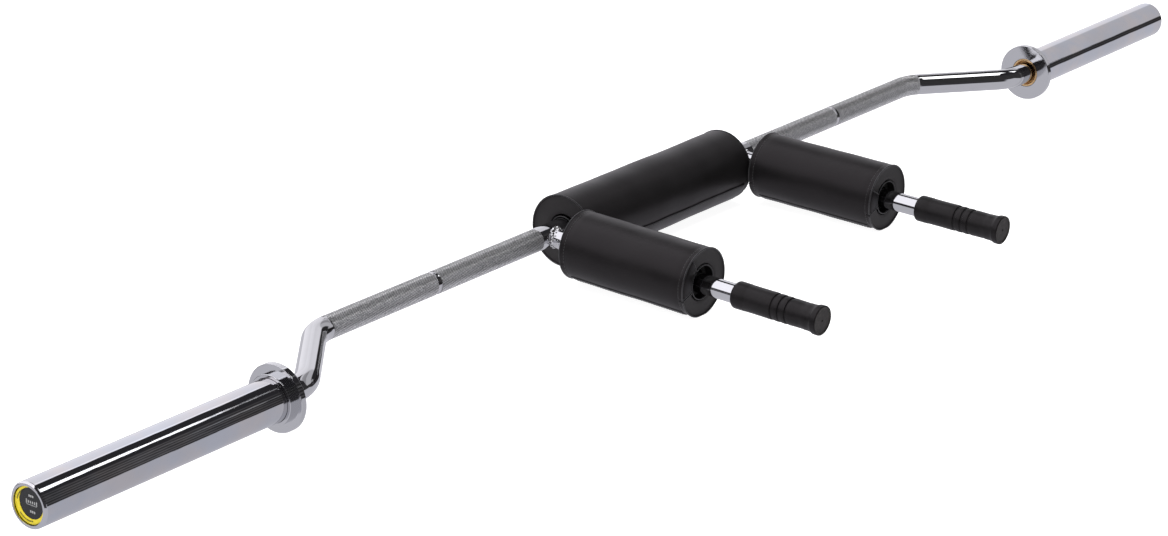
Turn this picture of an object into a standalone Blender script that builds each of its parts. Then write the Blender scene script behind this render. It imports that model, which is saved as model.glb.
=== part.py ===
# Squat bar with shoulder pads: the sleeves are bent forward of the shaft, and two padded arms with grips point forward.
# Metres, +Z up. The bar lies on its pads with its sleeves along X and its grips towards -Y.
# The origin is on the floor, under the middle of the whole bar.
import math

import bpy
from mathutils import Vector

# Gaps between pieces
SEAT_GAP = 0.0003  # between two pieces that touch
RUNNING_GAP = 0.0003  # between a bushing and the journal that turns in it

# Whole bar
COLLAR_SPAN = 1.567  # between the inboard faces of the two collars
SLEEVE_END = 0.3655  # from the collar's inboard face to the end of the bar
SLEEVE_FORWARD = 0.0943  # sleeve axis in front of the shaft axis
SLEEVE_LIFT = 0.0019  # sleeve axis above the plane of the arms

# Shaft
SHAFT_RADIUS = 0.0143
BEND_RADIUS = 0.065
BEND_REACH = 0.121  # length along X of the slanting run, corner to corner
BEND_TO_COLLAR = 0.0415  # from the outer corner to the collar
JOURNAL_STEP = 0.0018  # turned off the shaft's radius inside the sleeve
SHAFT_END_CHAMFER = 0.0015
RING_MARK = 0.421  # grip mark in the knurl, from the middle of the knurl
RING_MARK_WIDTH = 0.009
RING_MARK_DEPTH = 0.0004
KNURL_SHIFT = 0.015  # the knurled stock was bent a little off its middle
STEP_RUN = 0.0002  # length of a turned step along the shaft

# Arms
ARM_FROM_PAD = 0.0285  # from the end of the centre pad to the arm's axis
ARM_SPLAY = math.radians(0.6)
ARM_RADIUS = 0.012
ARM_WALL = 0.0025
ARM_LENGTH = 0.392  # from the shaft axis
ARM_END_CHAMFER = 0.0005

# Weld beads
BEAD_RADIUS = 0.0042
BEAD_OFFSET = 0.0014  # bead centre line, off both tubes
BEAD_RIPPLE = 0.14  # share of the bead's radius
BEAD_RIPPLES = 13
BEAD_SWELL = 0.4  # share of the ripple that comes and goes
BEAD_SWELLS = 3

# Pads
COVER_THICKNESS = 0.0012
PAD_INSET = 0.0018  # end disc behind the rim
PAD_RIM = 0.0035  # rounding of the rim
PAD_PIPING = 0.0016
FLOOR_CUT = 0.0005  # depth of the flat where a pad rests
PAD_SLIT = 0.0008  # lengthwise slit that lets a pad go over its tube
CENTRE_PAD_LENGTH = 0.339
CENTRE_PAD_RADIUS = 0.0455
CENTRE_PAD_CROWN = 0.0006
CENTRE_PAD_HANG = 0.0022  # roll axis below the shaft axis
CENTRE_PAD_HOLE = 0.0215
PAD_CLEARANCE = 0.0039  # between the centre pad's front and the arm pads
ARM_PAD_LENGTH = 0.183
ARM_PAD_RADIUS = 0.0423
ARM_PAD_CROWN = 0.0005
ARM_PAD_RIDE = 0.0017  # roll axis above the arm axis
ARM_PAD_HOLE = 0.0205
FLAP_THICKNESS = 0.0012
FLAP_MARGIN = 0.009  # from the flap's end to the pad's end
CENTRE_FLAP_WIDTH = 0.030
CENTRE_FLAP_ANGLE = math.radians(-38)  # from straight ahead, downwards
ARM_FLAP_WIDTH = 0.020
ARM_FLAP_ANGLE = math.radians(228)  # round the arm, from +X towards +Z

# Grips
GRIP_LENGTH = 0.120
GRIP_CAP = 0.009  # rubber past the arm's end
GRIP_RADIUS = 0.0166
GRIP_WAIST = 0.0154
GRIP_ROUNDING = 0.003
GRIP_RINGS = 3
GRIP_RING_START = 0.051  # from the grip's inner end
GRIP_RING_PITCH = 0.010
GRIP_RING_GROOVE = 0.0018
GRIP_RING_DEPTH = 0.0009
KNOB_RADIUS = 0.0179
KNOB_LENGTH = 0.0075
KNOB_FLARE = 0.007
KNOB_ROUNDING = 0.0016
KNOB_DISH = 0.0008
KNOB_RIM = 0.0026
DIMPLE_RADIUS = 0.0016
DIMPLE_DEPTH = 0.0009

# Sleeves and collars
SLEEVE_RADIUS = 0.025
SLEEVE_END_BEVEL = 0.0014
COLLAR_RADIUS = 0.0385
COLLAR_THICKNESS = 0.0078
COLLAR_ROUNDING = 0.0014
COLLAR_LIP = 0.003
SHOULDER_WALL = 0.004
SHOULDER_LENGTH = 0.0075
BUSHING_WALL = 0.005
BUSHING_FACE_RECESS = 0.0021  # dark ring between the bushing's face and the shaft
BUSHING_RECESS_DEPTH = 0.003
INNER_BUSHING_LENGTH = 0.032
OUTER_BUSHING_LENGTH = 0.024
WASHER_THICKNESS = 0.002
WASHER_MARGIN = 0.0008  # the washer's edge inside the bushing's
RETAINER_THICKNESS = 0.0015
RETAINER_HEIGHT = 0.0033  # out of the journal
RETAINER_GROOVE_DEPTH = 0.001
RETAINER_OPENING = 0.009
SHAFT_TIP = 0.0035  # of the journal, past the retaining ring
CAP_LEDGE = 0.43  # share of the sleeve's wall that the cap's disc sits on
CAP_DISC = 0.004
CAP_RECESS = 0.0018
CAP_SPIGOT = 0.008
CAP_SPIGOT_WALL = 0.0022
CAP_SHAFT_GAP = 0.005  # air between the shaft's end and the cap
LABEL_MARGIN = 0.0012
LABEL_WIDTH = 0.007
LABEL_THICKNESS = 0.0004

# Facets
SHARP_ANGLE = math.radians(35)
MERGE_DISTANCE = 0.00001
TURN_STEPS = 40
SMALL_TURN_STEPS = 24
BUSHING_STEPS = 32
PAD_STEPS = 32
FOAM_STEPS = 16
SHAFT_SIDE_STEPS = 10  # bevel resolution, 24 sides
ARC_STEPS = 6
RIM_STEPS = 3
ROUNDING_STEPS = 2
FLAP_STEPS = 10
BEAD_POINTS = 52
BEAD_SIDE_STEPS = 1  # bevel resolution, 6 sides

# Worked out from the sizes above
OVERALL_LENGTH = COLLAR_SPAN + 2 * SLEEVE_END
ARM_SPACING = CENTRE_PAD_LENGTH + 2 * ARM_FROM_PAD  # between the arm axes at the shaft
ARM_PAD_START = CENTRE_PAD_RADIUS + CENTRE_PAD_CROWN + PAD_CLEARANCE  # from the shaft axis
GRIP_END = ARM_LENGTH + GRIP_CAP
GRIP_START = GRIP_END - GRIP_LENGTH
JOURNAL_RADIUS = SHAFT_RADIUS - JOURNAL_STEP
BUSHING_RADIUS = SHAFT_RADIUS + RUNNING_GAP + BUSHING_WALL
BORE_RADIUS = BUSHING_RADIUS + SEAT_GAP
SHOULDER_RADIUS = SLEEVE_RADIUS + SHOULDER_WALL
CAP_POCKET_RADIUS = BORE_RADIUS + CAP_LEDGE * (SLEEVE_RADIUS - BORE_RADIUS)
CAP_RADIUS = CAP_POCKET_RADIUS - SEAT_GAP
LABEL_OUTER = CAP_RADIUS - LABEL_MARGIN
LABEL_INNER = LABEL_OUTER - LABEL_WIDTH
WASHER_RADIUS = BUSHING_RADIUS - WASHER_MARGIN
RETAINER_RADIUS = JOURNAL_RADIUS + RETAINER_HEIGHT
CAP_FRONT = SLEEVE_END - CAP_RECESS
CAP_SEAT = CAP_FRONT - CAP_DISC
CAP_BACK = CAP_SEAT - CAP_SPIGOT
SHAFT_TIP_END = CAP_BACK - CAP_SHAFT_GAP
RETAINER_OUTER_FACE = SHAFT_TIP_END - SHAFT_TIP
RETAINER_INNER_FACE = RETAINER_OUTER_FACE - RETAINER_THICKNESS
WASHER_OUTER_FACE = RETAINER_INNER_FACE - SEAT_GAP
WASHER_INNER_FACE = WASHER_OUTER_FACE - WASHER_THICKNESS
OUTER_BUSHING_END = WASHER_INNER_FACE - SEAT_GAP
OUTER_BUSHING_START = OUTER_BUSHING_END - OUTER_BUSHING_LENGTH
JOURNAL_START = OUTER_BUSHING_START - SEAT_GAP


def rest_tilt():
    """The slope of the arms that puts the centre pad and the front rims of the arm pads on one floor."""
    reach = ARM_PAD_START + ARM_PAD_LENGTH - PAD_RIM
    drop = ARM_PAD_RADIUS - ARM_PAD_RIDE
    height = CENTRE_PAD_RADIUS + CENTRE_PAD_CROWN + CENTRE_PAD_HANG
    return math.asin(height / math.hypot(reach, drop)) - math.atan2(drop, reach)


TILT = rest_tilt()
SHAFT_HEIGHT = CENTRE_PAD_RADIUS + CENTRE_PAD_CROWN + CENTRE_PAD_HANG - FLOOR_CUT
FRONT_REACH = GRIP_END * math.cos(ARM_SPLAY) * math.cos(TILT) + (KNOB_RADIUS - KNOB_ROUNDING) * math.sin(TILT)
BACK_REACH = CENTRE_PAD_RADIUS + CENTRE_PAD_CROWN
SHAFT_Y = (FRONT_REACH - BACK_REACH) / 2

SIDES = {"left": 1, "right": -1}


def clear_scene():
    for item in list(bpy.data.objects):
        bpy.data.objects.remove(item, do_unlink=True)


def new_collection(name):
    collection = bpy.data.collections.new(name)
    bpy.context.scene.collection.children.link(collection)
    return collection


def material(name, colour, roughness, metallic=0.0):
    made = bpy.data.materials.new(name)
    made.use_nodes = True
    shader = made.node_tree.nodes["Principled BSDF"]
    shader.inputs["Base Color"].default_value = (*colour, 1.0)
    shader.inputs["Roughness"].default_value = roughness
    shader.inputs["Metallic"].default_value = metallic
    made.diffuse_color = (*colour, 1.0)
    return made


def add_object(name, data, collection, parent, look=None):
    piece = bpy.data.objects.new(name, data)
    collection.objects.link(piece)
    piece.parent = parent
    if look is not None:
        data.materials.append(look)
    return piece


def add_empty(name, collection, parent, location, rotation):
    axis = add_object(name, None, collection, parent)
    axis.empty_display_size = COLLAR_RADIUS
    axis.location = location
    axis.rotation_euler = rotation
    return axis


def evaluated_mesh(piece):
    """The piece's mesh with its modifiers applied."""
    bpy.context.view_layer.update()
    return bpy.data.meshes.new_from_object(piece.evaluated_get(bpy.context.evaluated_depsgraph_get()))


def turned(name, outline, collection, parent, look, steps=TURN_STEPS, closed=True):
    """A piece turned about its parent's Z axis. The outline is (radius, z) points, top to bottom on the outside."""
    profile = bpy.data.meshes.new(name + "_profile")
    corners = [(radius, 0.0, height) for radius, height in outline]
    edges = [(i, i + 1) for i in range(len(corners) - 1)]
    if closed:
        edges.append((len(corners) - 1, 0))
    profile.from_pydata(corners, edges, [])
    piece = add_object(name, profile, collection, parent, look)
    screw = piece.modifiers.new("Turn", "SCREW")
    screw.axis = "Z"
    screw.angle = math.tau
    screw.steps = steps
    screw.render_steps = steps
    screw.use_merge_vertices = True
    screw.merge_threshold = MERGE_DISTANCE
    piece.data = evaluated_mesh(piece)
    piece.modifiers.clear()
    piece.data.name = name
    piece.data.shade_smooth()
    piece.data.set_sharp_from_angle(angle=SHARP_ANGLE)
    return piece


def cut(piece, cutter):
    boolean = piece.modifiers.new("Cut " + cutter.name, "BOOLEAN")
    boolean.operation = "DIFFERENCE"
    boolean.object = cutter
    boolean.solver = "EXACT"


def as_cutter(piece):
    piece.hide_render = True
    piece.display_type = "WIRE"
    return piece


def cutter_block(name, collection, parent, size, location, turn=0.0):
    """A box that cuts, turned about its parent's Z axis."""
    bpy.ops.mesh.primitive_cube_add(size=1)
    block = bpy.context.object
    block.name = name
    for corner in block.data.vertices:
        corner.co = Vector(corner.co[i] * size[i] for i in range(3))
    for old in block.users_collection:
        old.objects.unlink(block)
    collection.objects.link(block)
    block.parent = parent
    block.location = location
    block.rotation_euler = (0.0, 0.0, turn)
    return as_cutter(block)


def arc(centre, radius, start, end, steps):
    """Points (radius, z) on an arc of a turned outline, angles in degrees from the outward direction."""
    points = []
    for i in range(steps + 1):
        angle = math.radians(start + (end - start) * i / steps)
        points.append((centre[0] + radius * math.cos(angle), centre[1] + radius * math.sin(angle)))
    return points


# Shaft


def bent_path(corners, radius):
    """The corners of a path, each inner one made an arc."""
    path = [corners[0]]
    for before, corner, after in zip(corners, corners[1:], corners[2:]):
        inward = (before - corner).normalized()
        outward = (after - corner).normalized()
        turn = math.pi - inward.angle(outward)
        tangent = radius * math.tan(turn / 2)
        centre = corner + (inward + outward).normalized() * (radius / math.cos(turn / 2))
        start = corner + inward * tangent - centre
        end = corner + outward * tangent - centre
        for i in range(ARC_STEPS + 1):
            share = i / ARC_STEPS
            spoke = (start * math.sin((1 - share) * turn) + end * math.sin(share * turn)) / math.sin(turn)
            path.append(centre + spoke)
    path.append(corners[-1])
    return path


def shaft_stations(side):
    """Points and radii of one half of the shaft, from the middle outwards."""
    ring = RING_MARK + side * KNURL_SHIFT
    half_ring = RING_MARK_WIDTH / 2
    outer_corner = COLLAR_SPAN / 2 - BEND_TO_COLLAR
    inner_corner = outer_corner - BEND_REACH
    stations = []
    for x, radius in (
        (ring - half_ring, SHAFT_RADIUS),
        (ring - half_ring + STEP_RUN, SHAFT_RADIUS - RING_MARK_DEPTH),
        (ring + half_ring - STEP_RUN, SHAFT_RADIUS - RING_MARK_DEPTH),
        (ring + half_ring, SHAFT_RADIUS),
    ):
        stations.append((Vector((side * x, 0.0, 0.0)), radius))

    journal_end = COLLAR_SPAN / 2 + SHAFT_TIP_END
    corners = [
        Vector((side * (ring + half_ring + STEP_RUN), 0.0, 0.0)),
        Vector((side * inner_corner, 0.0, 0.0)),
        Vector((side * outer_corner, -SLEEVE_FORWARD, SLEEVE_LIFT)),
        Vector((side * journal_end, -SLEEVE_FORWARD, SLEEVE_LIFT)),
    ]
    for point in bent_path(corners, BEND_RADIUS)[1:-1]:
        stations.append((point, SHAFT_RADIUS))

    groove_start = RETAINER_INNER_FACE - SEAT_GAP
    groove_end = RETAINER_OUTER_FACE + SEAT_GAP
    groove_radius = JOURNAL_RADIUS - RETAINER_GROOVE_DEPTH
    for z, radius in (
        (JOURNAL_START - STEP_RUN, SHAFT_RADIUS),
        (JOURNAL_START, JOURNAL_RADIUS),
        (groove_start - STEP_RUN, JOURNAL_RADIUS),
        (groove_start, groove_radius),
        (groove_end, groove_radius),
        (groove_end + STEP_RUN, JOURNAL_RADIUS),
        (SHAFT_TIP_END - SHAFT_END_CHAMFER, JOURNAL_RADIUS),
        (SHAFT_TIP_END, JOURNAL_RADIUS - SHAFT_END_CHAMFER),
    ):
        x = side * (COLLAR_SPAN / 2 + z)
        stations.append((Vector((x, -SLEEVE_FORWARD, SLEEVE_LIFT)), radius))
    return stations


def swept(name, stations, radius, sides, collection, parent, look, cyclic=False):
    """A bar along points, each with its own radius."""
    curve = bpy.data.curves.new(name, "CURVE")
    curve.dimensions = "3D"
    curve.bevel_depth = radius
    curve.bevel_resolution = sides
    curve.render_resolution_u = 0
    curve.use_fill_caps = not cyclic
    spline = curve.splines.new("POLY")
    spline.points.add(len(stations) - 1)
    for point, (place, own_radius) in zip(spline.points, stations):
        point.co = (*place, 1.0)
        point.radius = own_radius / radius
    spline.use_cyclic_u = cyclic
    return add_object(name, curve, collection, parent, look)


def as_mesh(curve, collection):
    """The same piece as a mesh, so that it can be cut."""
    name = curve.name
    curve.name = name + "_curve"
    piece = add_object(name, evaluated_mesh(curve), collection, curve.parent)
    bpy.data.objects.remove(curve, do_unlink=True)
    return piece


def shaft(collection, bar, look):
    stations = list(reversed(shaft_stations(-1))) + shaft_stations(1)
    swept("shaft", stations, SHAFT_RADIUS, SHAFT_SIDE_STEPS, collection, bar, look)


# Arms and welds


def shaft_clearance(collection, bar):
    """A cutter of the shaft's middle with the gap that touching pieces keep."""
    bpy.ops.mesh.primitive_cylinder_add(
        vertices=TURN_STEPS,
        radius=(SHAFT_RADIUS + SEAT_GAP) / math.cos(math.pi / TURN_STEPS),
        depth=ARM_SPACING + 2 * ARM_PAD_START,
    )
    cutter = bpy.context.object
    cutter.name = "shaft_clearance"
    for old in cutter.users_collection:
        old.objects.unlink(cutter)
    collection.objects.link(cutter)
    cutter.parent = bar
    cutter.rotation_euler = (0.0, math.pi / 2, 0.0)
    return as_cutter(cutter)


def arm_tube(side, collection, axis, look, clearance):
    bore = ARM_RADIUS - ARM_WALL
    outline = [
        (bore, ARM_LENGTH),
        (ARM_RADIUS - ARM_END_CHAMFER, ARM_LENGTH),
        (ARM_RADIUS, ARM_LENGTH - ARM_END_CHAMFER),
        (ARM_RADIUS, 0.0),
        (bore, 0.0),
    ]
    tube = turned(side + "_arm", outline, collection, axis, look, SMALL_TURN_STEPS)
    cut(tube, clearance)


def weld_bead(side, collection, cutters, axis, look, clearance):
    """A rippled bead along the curve where the arm meets the shaft, cut back from both."""
    around = ARM_RADIUS + BEAD_OFFSET
    off_shaft = SHAFT_RADIUS + BEAD_OFFSET
    stations = []
    for i in range(BEAD_POINTS):
        turn = math.tau * i / BEAD_POINTS
        across = around * math.cos(turn)
        up = around * math.sin(turn)
        along = math.sqrt(max(off_shaft**2 - up**2, 0.0))
        swell = 1 + BEAD_SWELL * math.sin(BEAD_SWELLS * turn)
        ripple = BEAD_RIPPLE * swell * math.sin(BEAD_RIPPLES * turn)
        stations.append((Vector((across, up, along)), BEAD_RADIUS * (1 + ripple)))
    bead = swept(side + "_weld", stations, BEAD_RADIUS, BEAD_SIDE_STEPS, collection, axis, look, cyclic=True)
    bead = as_mesh(bead, collection)

    room = ARM_RADIUS + SEAT_GAP
    outline = [(0.0, ARM_PAD_START), (room, ARM_PAD_START), (room, -SHAFT_RADIUS), (0.0, -SHAFT_RADIUS)]
    arm_clearance = turned(side + "_arm_clearance", outline, cutters, axis, None, closed=False)
    cut(bead, as_cutter(arm_clearance))
    cut(bead, clearance)


# Pads


def pad_edge(length, radius, crown, hole):
    """The cover's outline from the top hole down the outside to the bottom hole."""
    top = [(hole, length - PAD_INSET), (radius - PAD_RIM - PAD_PIPING, length - PAD_INSET)]
    top += [(radius - PAD_RIM - PAD_PIPING / 2, length - PAD_INSET / 3)]
    top += arc((radius - PAD_RIM, length - PAD_RIM), PAD_RIM, 90, 0, RIM_STEPS)
    side = [(radius + crown, length / 2)]
    bottom = [(r, length - z) for r, z in reversed(top)]
    return top + side + bottom


def pad_slit(name, length, radius, angle, cutters, axis):
    """A cutter for the slit from a pad's axis to its outside, all along the roll."""
    reach = radius + FLAP_THICKNESS
    size = (reach, PAD_SLIT, length + 2 * PAD_RIM)
    place = (reach / 2 * math.cos(angle), reach / 2 * math.sin(angle), length / 2)
    return cutter_block(name, cutters, axis, size, place, angle)


def pad_cover(name, length, radius, crown, hole, collection, axis, look, cutters):
    inner_radius = radius - COVER_THICKNESS
    inner_end = PAD_INSET + COVER_THICKNESS
    lining = [
        (hole, inner_end),
        (inner_radius - PAD_RIM, inner_end),
        (inner_radius, PAD_RIM + COVER_THICKNESS),
        (inner_radius, length - PAD_RIM - COVER_THICKNESS),
        (inner_radius - PAD_RIM, length - inner_end),
        (hole, length - inner_end),
    ]
    outline = pad_edge(length, radius, crown, hole) + lining
    cover = turned(name, outline, collection, axis, look, PAD_STEPS)
    for cutter in cutters:
        cut(cover, cutter)


def pad_foam(name, length, radius, bore, collection, axis, look, slit):
    outer = radius - COVER_THICKNESS - SEAT_GAP
    end = PAD_INSET + COVER_THICKNESS + SEAT_GAP
    shoulder = PAD_RIM + COVER_THICKNESS
    outline = [
        (bore, length - end),
        (outer - PAD_RIM, length - end),
        (outer - SEAT_GAP, length - shoulder - SEAT_GAP),
        (outer - SEAT_GAP, shoulder + SEAT_GAP),
        (outer - PAD_RIM, end),
        (bore, end),
    ]
    cut(turned(name, outline, collection, axis, look, FOAM_STEPS), slit)


def closing_flap(name, length, radius, width, angle, collection, axis, look):
    """The overlap of the cover that closes on hook-and-loop tape, a curved strip along the roll."""
    inner = radius + SEAT_GAP
    outer = inner + FLAP_THICKNESS
    half = width / (2 * inner)
    turns = [angle + half * (2 * i / FLAP_STEPS - 1) for i in range(FLAP_STEPS + 1)]
    corners = [(outer * math.cos(turn), outer * math.sin(turn), 0.0) for turn in turns]
    corners += [(inner * math.cos(turn), inner * math.sin(turn), 0.0) for turn in reversed(turns)]
    curve = bpy.data.curves.new(name, "CURVE")
    curve.dimensions = "2D"
    curve.fill_mode = "BOTH"
    curve.extrude = length / 2 - FLAP_MARGIN
    curve.render_resolution_u = 0
    spline = curve.splines.new("POLY")
    spline.points.add(len(corners) - 1)
    for point, corner in zip(spline.points, corners):
        point.co = (*corner, 1.0)
    spline.use_cyclic_u = True
    flap = add_object(name, curve, collection, axis, look)
    flap.location = (0.0, 0.0, length / 2)


def centre_pad(collection, cutters, bar_place, floor, looks):
    """The roll behind the neck. It hangs level on the shaft, so its axis is set in the room, not in the bar."""
    place = (-CENTRE_PAD_LENGTH / 2, bar_place[1], bar_place[2] - CENTRE_PAD_HANG)
    axis = add_empty("centre_pad_axis", collection, None, place, (0.0, math.pi / 2, 0.0))
    widest = CENTRE_PAD_RADIUS + CENTRE_PAD_CROWN
    # Round this axis, +X is down and -Y is ahead
    angle = -math.pi / 2 - CENTRE_FLAP_ANGLE
    slit = pad_slit("centre_pad_slit", CENTRE_PAD_LENGTH, widest, angle, cutters, axis)
    pad_cover(
        "centre_pad_cover", CENTRE_PAD_LENGTH, CENTRE_PAD_RADIUS, CENTRE_PAD_CROWN, CENTRE_PAD_HOLE,
        collection, axis, looks["vinyl"], (floor, slit),
    )
    bore = SHAFT_RADIUS + CENTRE_PAD_HANG + SEAT_GAP
    pad_foam("centre_pad_foam", CENTRE_PAD_LENGTH, CENTRE_PAD_RADIUS, bore, collection, axis, looks["foam"], slit)
    closing_flap(
        "centre_pad_flap", CENTRE_PAD_LENGTH, widest, CENTRE_FLAP_WIDTH, angle, collection, axis, looks["vinyl"]
    )


def arm_pad(side, collection, cutters, arm_axis, floor, looks):
    """The roll over one shoulder. Round the arm, +Y is up."""
    axis = add_empty(side + "_pad_axis", collection, arm_axis, (0.0, ARM_PAD_RIDE, ARM_PAD_START), (0.0, 0.0, 0.0))
    widest = ARM_PAD_RADIUS + ARM_PAD_CROWN
    slit = pad_slit(side + "_arm_pad_slit", ARM_PAD_LENGTH, widest, ARM_FLAP_ANGLE, cutters, axis)
    pad_cover(
        side + "_arm_pad_cover", ARM_PAD_LENGTH, ARM_PAD_RADIUS, ARM_PAD_CROWN, ARM_PAD_HOLE,
        collection, axis, looks["vinyl"], (floor, slit),
    )
    bore = ARM_RADIUS + ARM_PAD_RIDE + SEAT_GAP
    pad_foam(side + "_arm_pad_foam", ARM_PAD_LENGTH, ARM_PAD_RADIUS, bore, collection, axis, looks["foam"], slit)
    closing_flap(
        side + "_arm_pad_flap", ARM_PAD_LENGTH, widest, ARM_FLAP_WIDTH, ARM_FLAP_ANGLE,
        collection, axis, looks["vinyl"],
    )


# Grips


def grip_radius(height):
    """The grip's taper, from its inner end to its waist by the knob."""
    share = min(max(height / (GRIP_LENGTH - KNOB_LENGTH - KNOB_FLARE), 0.0), 1.0)
    return GRIP_RADIUS + (GRIP_WAIST - GRIP_RADIUS) * share


def grip(side, collection, axis, look):
    """A rubber cap over the end of the arm, with ring grooves and a flared knob."""
    bore = ARM_RADIUS + SEAT_GAP
    bore_end = ARM_LENGTH + SEAT_GAP - GRIP_START
    knob_base = GRIP_LENGTH - KNOB_LENGTH
    outline = [
        (0.0, GRIP_LENGTH - KNOB_DISH - DIMPLE_DEPTH),
        (DIMPLE_RADIUS, GRIP_LENGTH - KNOB_DISH),
        (KNOB_RADIUS - KNOB_RIM - KNOB_DISH, GRIP_LENGTH - KNOB_DISH),
        (KNOB_RADIUS - KNOB_RIM, GRIP_LENGTH),
    ]
    outline += arc((KNOB_RADIUS - KNOB_ROUNDING, GRIP_LENGTH - KNOB_ROUNDING), KNOB_ROUNDING, 90, 0, ROUNDING_STEPS)
    outline += arc((KNOB_RADIUS - KNOB_ROUNDING, knob_base + KNOB_ROUNDING), KNOB_ROUNDING, 0, -60, 1)
    for share in (0.5, 1.0):
        height = knob_base - KNOB_FLARE * share
        ease = (1 - share) ** 2
        outline.append((GRIP_WAIST + (KNOB_RADIUS - KNOB_ROUNDING - GRIP_WAIST) * ease, height))
    for number in reversed(range(GRIP_RINGS)):
        middle = GRIP_RING_START + number * GRIP_RING_PITCH
        top = middle + GRIP_RING_GROOVE
        bottom = middle - GRIP_RING_GROOVE
        outline.append((grip_radius(top), top))
        outline.append((grip_radius(middle) - GRIP_RING_DEPTH, middle + GRIP_RING_GROOVE / 3))
        outline.append((grip_radius(middle) - GRIP_RING_DEPTH, middle - GRIP_RING_GROOVE / 3))
        outline.append((grip_radius(bottom), bottom))
    outline += arc((GRIP_RADIUS - GRIP_ROUNDING, GRIP_ROUNDING), GRIP_ROUNDING, 0, -90, RIM_STEPS)
    outline += [(bore, 0.0), (bore, bore_end), (0.0, bore_end)]
    placed = [(radius, height + GRIP_START) for radius, height in outline]
    turned(side + "_grip", placed, collection, axis, look, SMALL_TURN_STEPS, closed=False)


# Sleeves


def ring_outline(inner, outer, bottom, top):
    return [(inner, top), (outer, top), (outer, bottom), (inner, bottom)]


def collar(side, collection, axis, look):
    """The flange that the plates rest against, with a low shoulder on its outboard side."""
    flange_edge = COLLAR_RADIUS - COLLAR_ROUNDING
    pocket = SLEEVE_RADIUS + SEAT_GAP
    shoulder_top = COLLAR_THICKNESS + SHOULDER_LENGTH
    outline = [(pocket, shoulder_top), (SHOULDER_RADIUS - COLLAR_ROUNDING / 2, shoulder_top)]
    outline += [(SHOULDER_RADIUS, shoulder_top - COLLAR_ROUNDING / 2), (SHOULDER_RADIUS, COLLAR_THICKNESS)]
    outline += arc((flange_edge, COLLAR_THICKNESS - COLLAR_ROUNDING), COLLAR_ROUNDING, 90, 0, ROUNDING_STEPS)
    outline += arc((flange_edge, COLLAR_ROUNDING), COLLAR_ROUNDING, 0, -90, ROUNDING_STEPS)
    outline += [(BORE_RADIUS, 0.0), (BORE_RADIUS, COLLAR_LIP), (pocket, COLLAR_LIP)]
    turned(side + "_collar", outline, collection, axis, look)


def sleeve(side, collection, axis, look):
    start = COLLAR_LIP + SEAT_GAP
    outline = [
        (CAP_POCKET_RADIUS, SLEEVE_END),
        (SLEEVE_RADIUS - SLEEVE_END_BEVEL, SLEEVE_END),
        (SLEEVE_RADIUS, SLEEVE_END - SLEEVE_END_BEVEL),
        (SLEEVE_RADIUS, start),
        (BORE_RADIUS, start),
        (BORE_RADIUS, CAP_SEAT - SEAT_GAP),
        (CAP_POCKET_RADIUS, CAP_SEAT - SEAT_GAP),
    ]
    turned(side + "_sleeve", outline, collection, axis, look)


def inner_bushing(side, collection, axis, look):
    """The bronze bushing in the collar. Its face shows as a ring round the shaft."""
    bore = SHAFT_RADIUS + RUNNING_GAP
    mouth = bore + BUSHING_FACE_RECESS
    outline = [
        (bore, INNER_BUSHING_LENGTH),
        (BUSHING_RADIUS, INNER_BUSHING_LENGTH),
        (BUSHING_RADIUS, 0.0),
        (mouth, 0.0),
        (mouth, BUSHING_RECESS_DEPTH),
        (bore, BUSHING_RECESS_DEPTH),
    ]
    turned(side + "_inner_bushing", outline, collection, axis, look, BUSHING_STEPS)


def outer_bushing(side, collection, axis, look):
    outline = ring_outline(JOURNAL_RADIUS + RUNNING_GAP, BUSHING_RADIUS, OUTER_BUSHING_START, OUTER_BUSHING_END)
    turned(side + "_outer_bushing", outline, collection, axis, look, BUSHING_STEPS)


def thrust_washer(side, collection, axis, look):
    outline = ring_outline(JOURNAL_RADIUS + SEAT_GAP, WASHER_RADIUS, WASHER_INNER_FACE, WASHER_OUTER_FACE)
    turned(side + "_thrust_washer", outline, collection, axis, look, SMALL_TURN_STEPS)


def retaining_ring(side, collection, cutters, axis, look):
    """A split ring that snaps into the groove at the journal's end."""
    inner = JOURNAL_RADIUS - RETAINER_GROOVE_DEPTH + SEAT_GAP
    outline = ring_outline(inner, RETAINER_RADIUS, RETAINER_INNER_FACE, RETAINER_OUTER_FACE)
    ring = turned(side + "_retaining_ring", outline, collection, axis, look, SMALL_TURN_STEPS)
    size = (RETAINER_RADIUS * 2, RETAINER_OPENING, RETAINER_THICKNESS * 2)
    place = (RETAINER_RADIUS, 0.0, (RETAINER_INNER_FACE + RETAINER_OUTER_FACE) / 2)
    cut(ring, cutter_block(side + "_retainer_opening", cutters, axis, size, place))


def end_cap(side, collection, axis, look):
    """A plug with a disc that sits in the sleeve's end, set back from the rim."""
    spigot = BORE_RADIUS - SEAT_GAP
    outline = [
        (0.0, CAP_FRONT),
        (CAP_RADIUS, CAP_FRONT),
        (CAP_RADIUS, CAP_SEAT),
        (spigot, CAP_SEAT),
        (spigot, CAP_BACK),
        (spigot - CAP_SPIGOT_WALL, CAP_BACK),
        (spigot - CAP_SPIGOT_WALL, CAP_SEAT),
        (0.0, CAP_SEAT),
    ]
    turned(side + "_end_cap", outline, collection, axis, look, BUSHING_STEPS, closed=False)


def end_label(side, collection, axis, look):
    outline = ring_outline(LABEL_INNER, LABEL_OUTER, CAP_FRONT + SEAT_GAP, CAP_FRONT + SEAT_GAP + LABEL_THICKNESS)
    turned(side + "_end_label", outline, collection, axis, look, BUSHING_STEPS)


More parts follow.
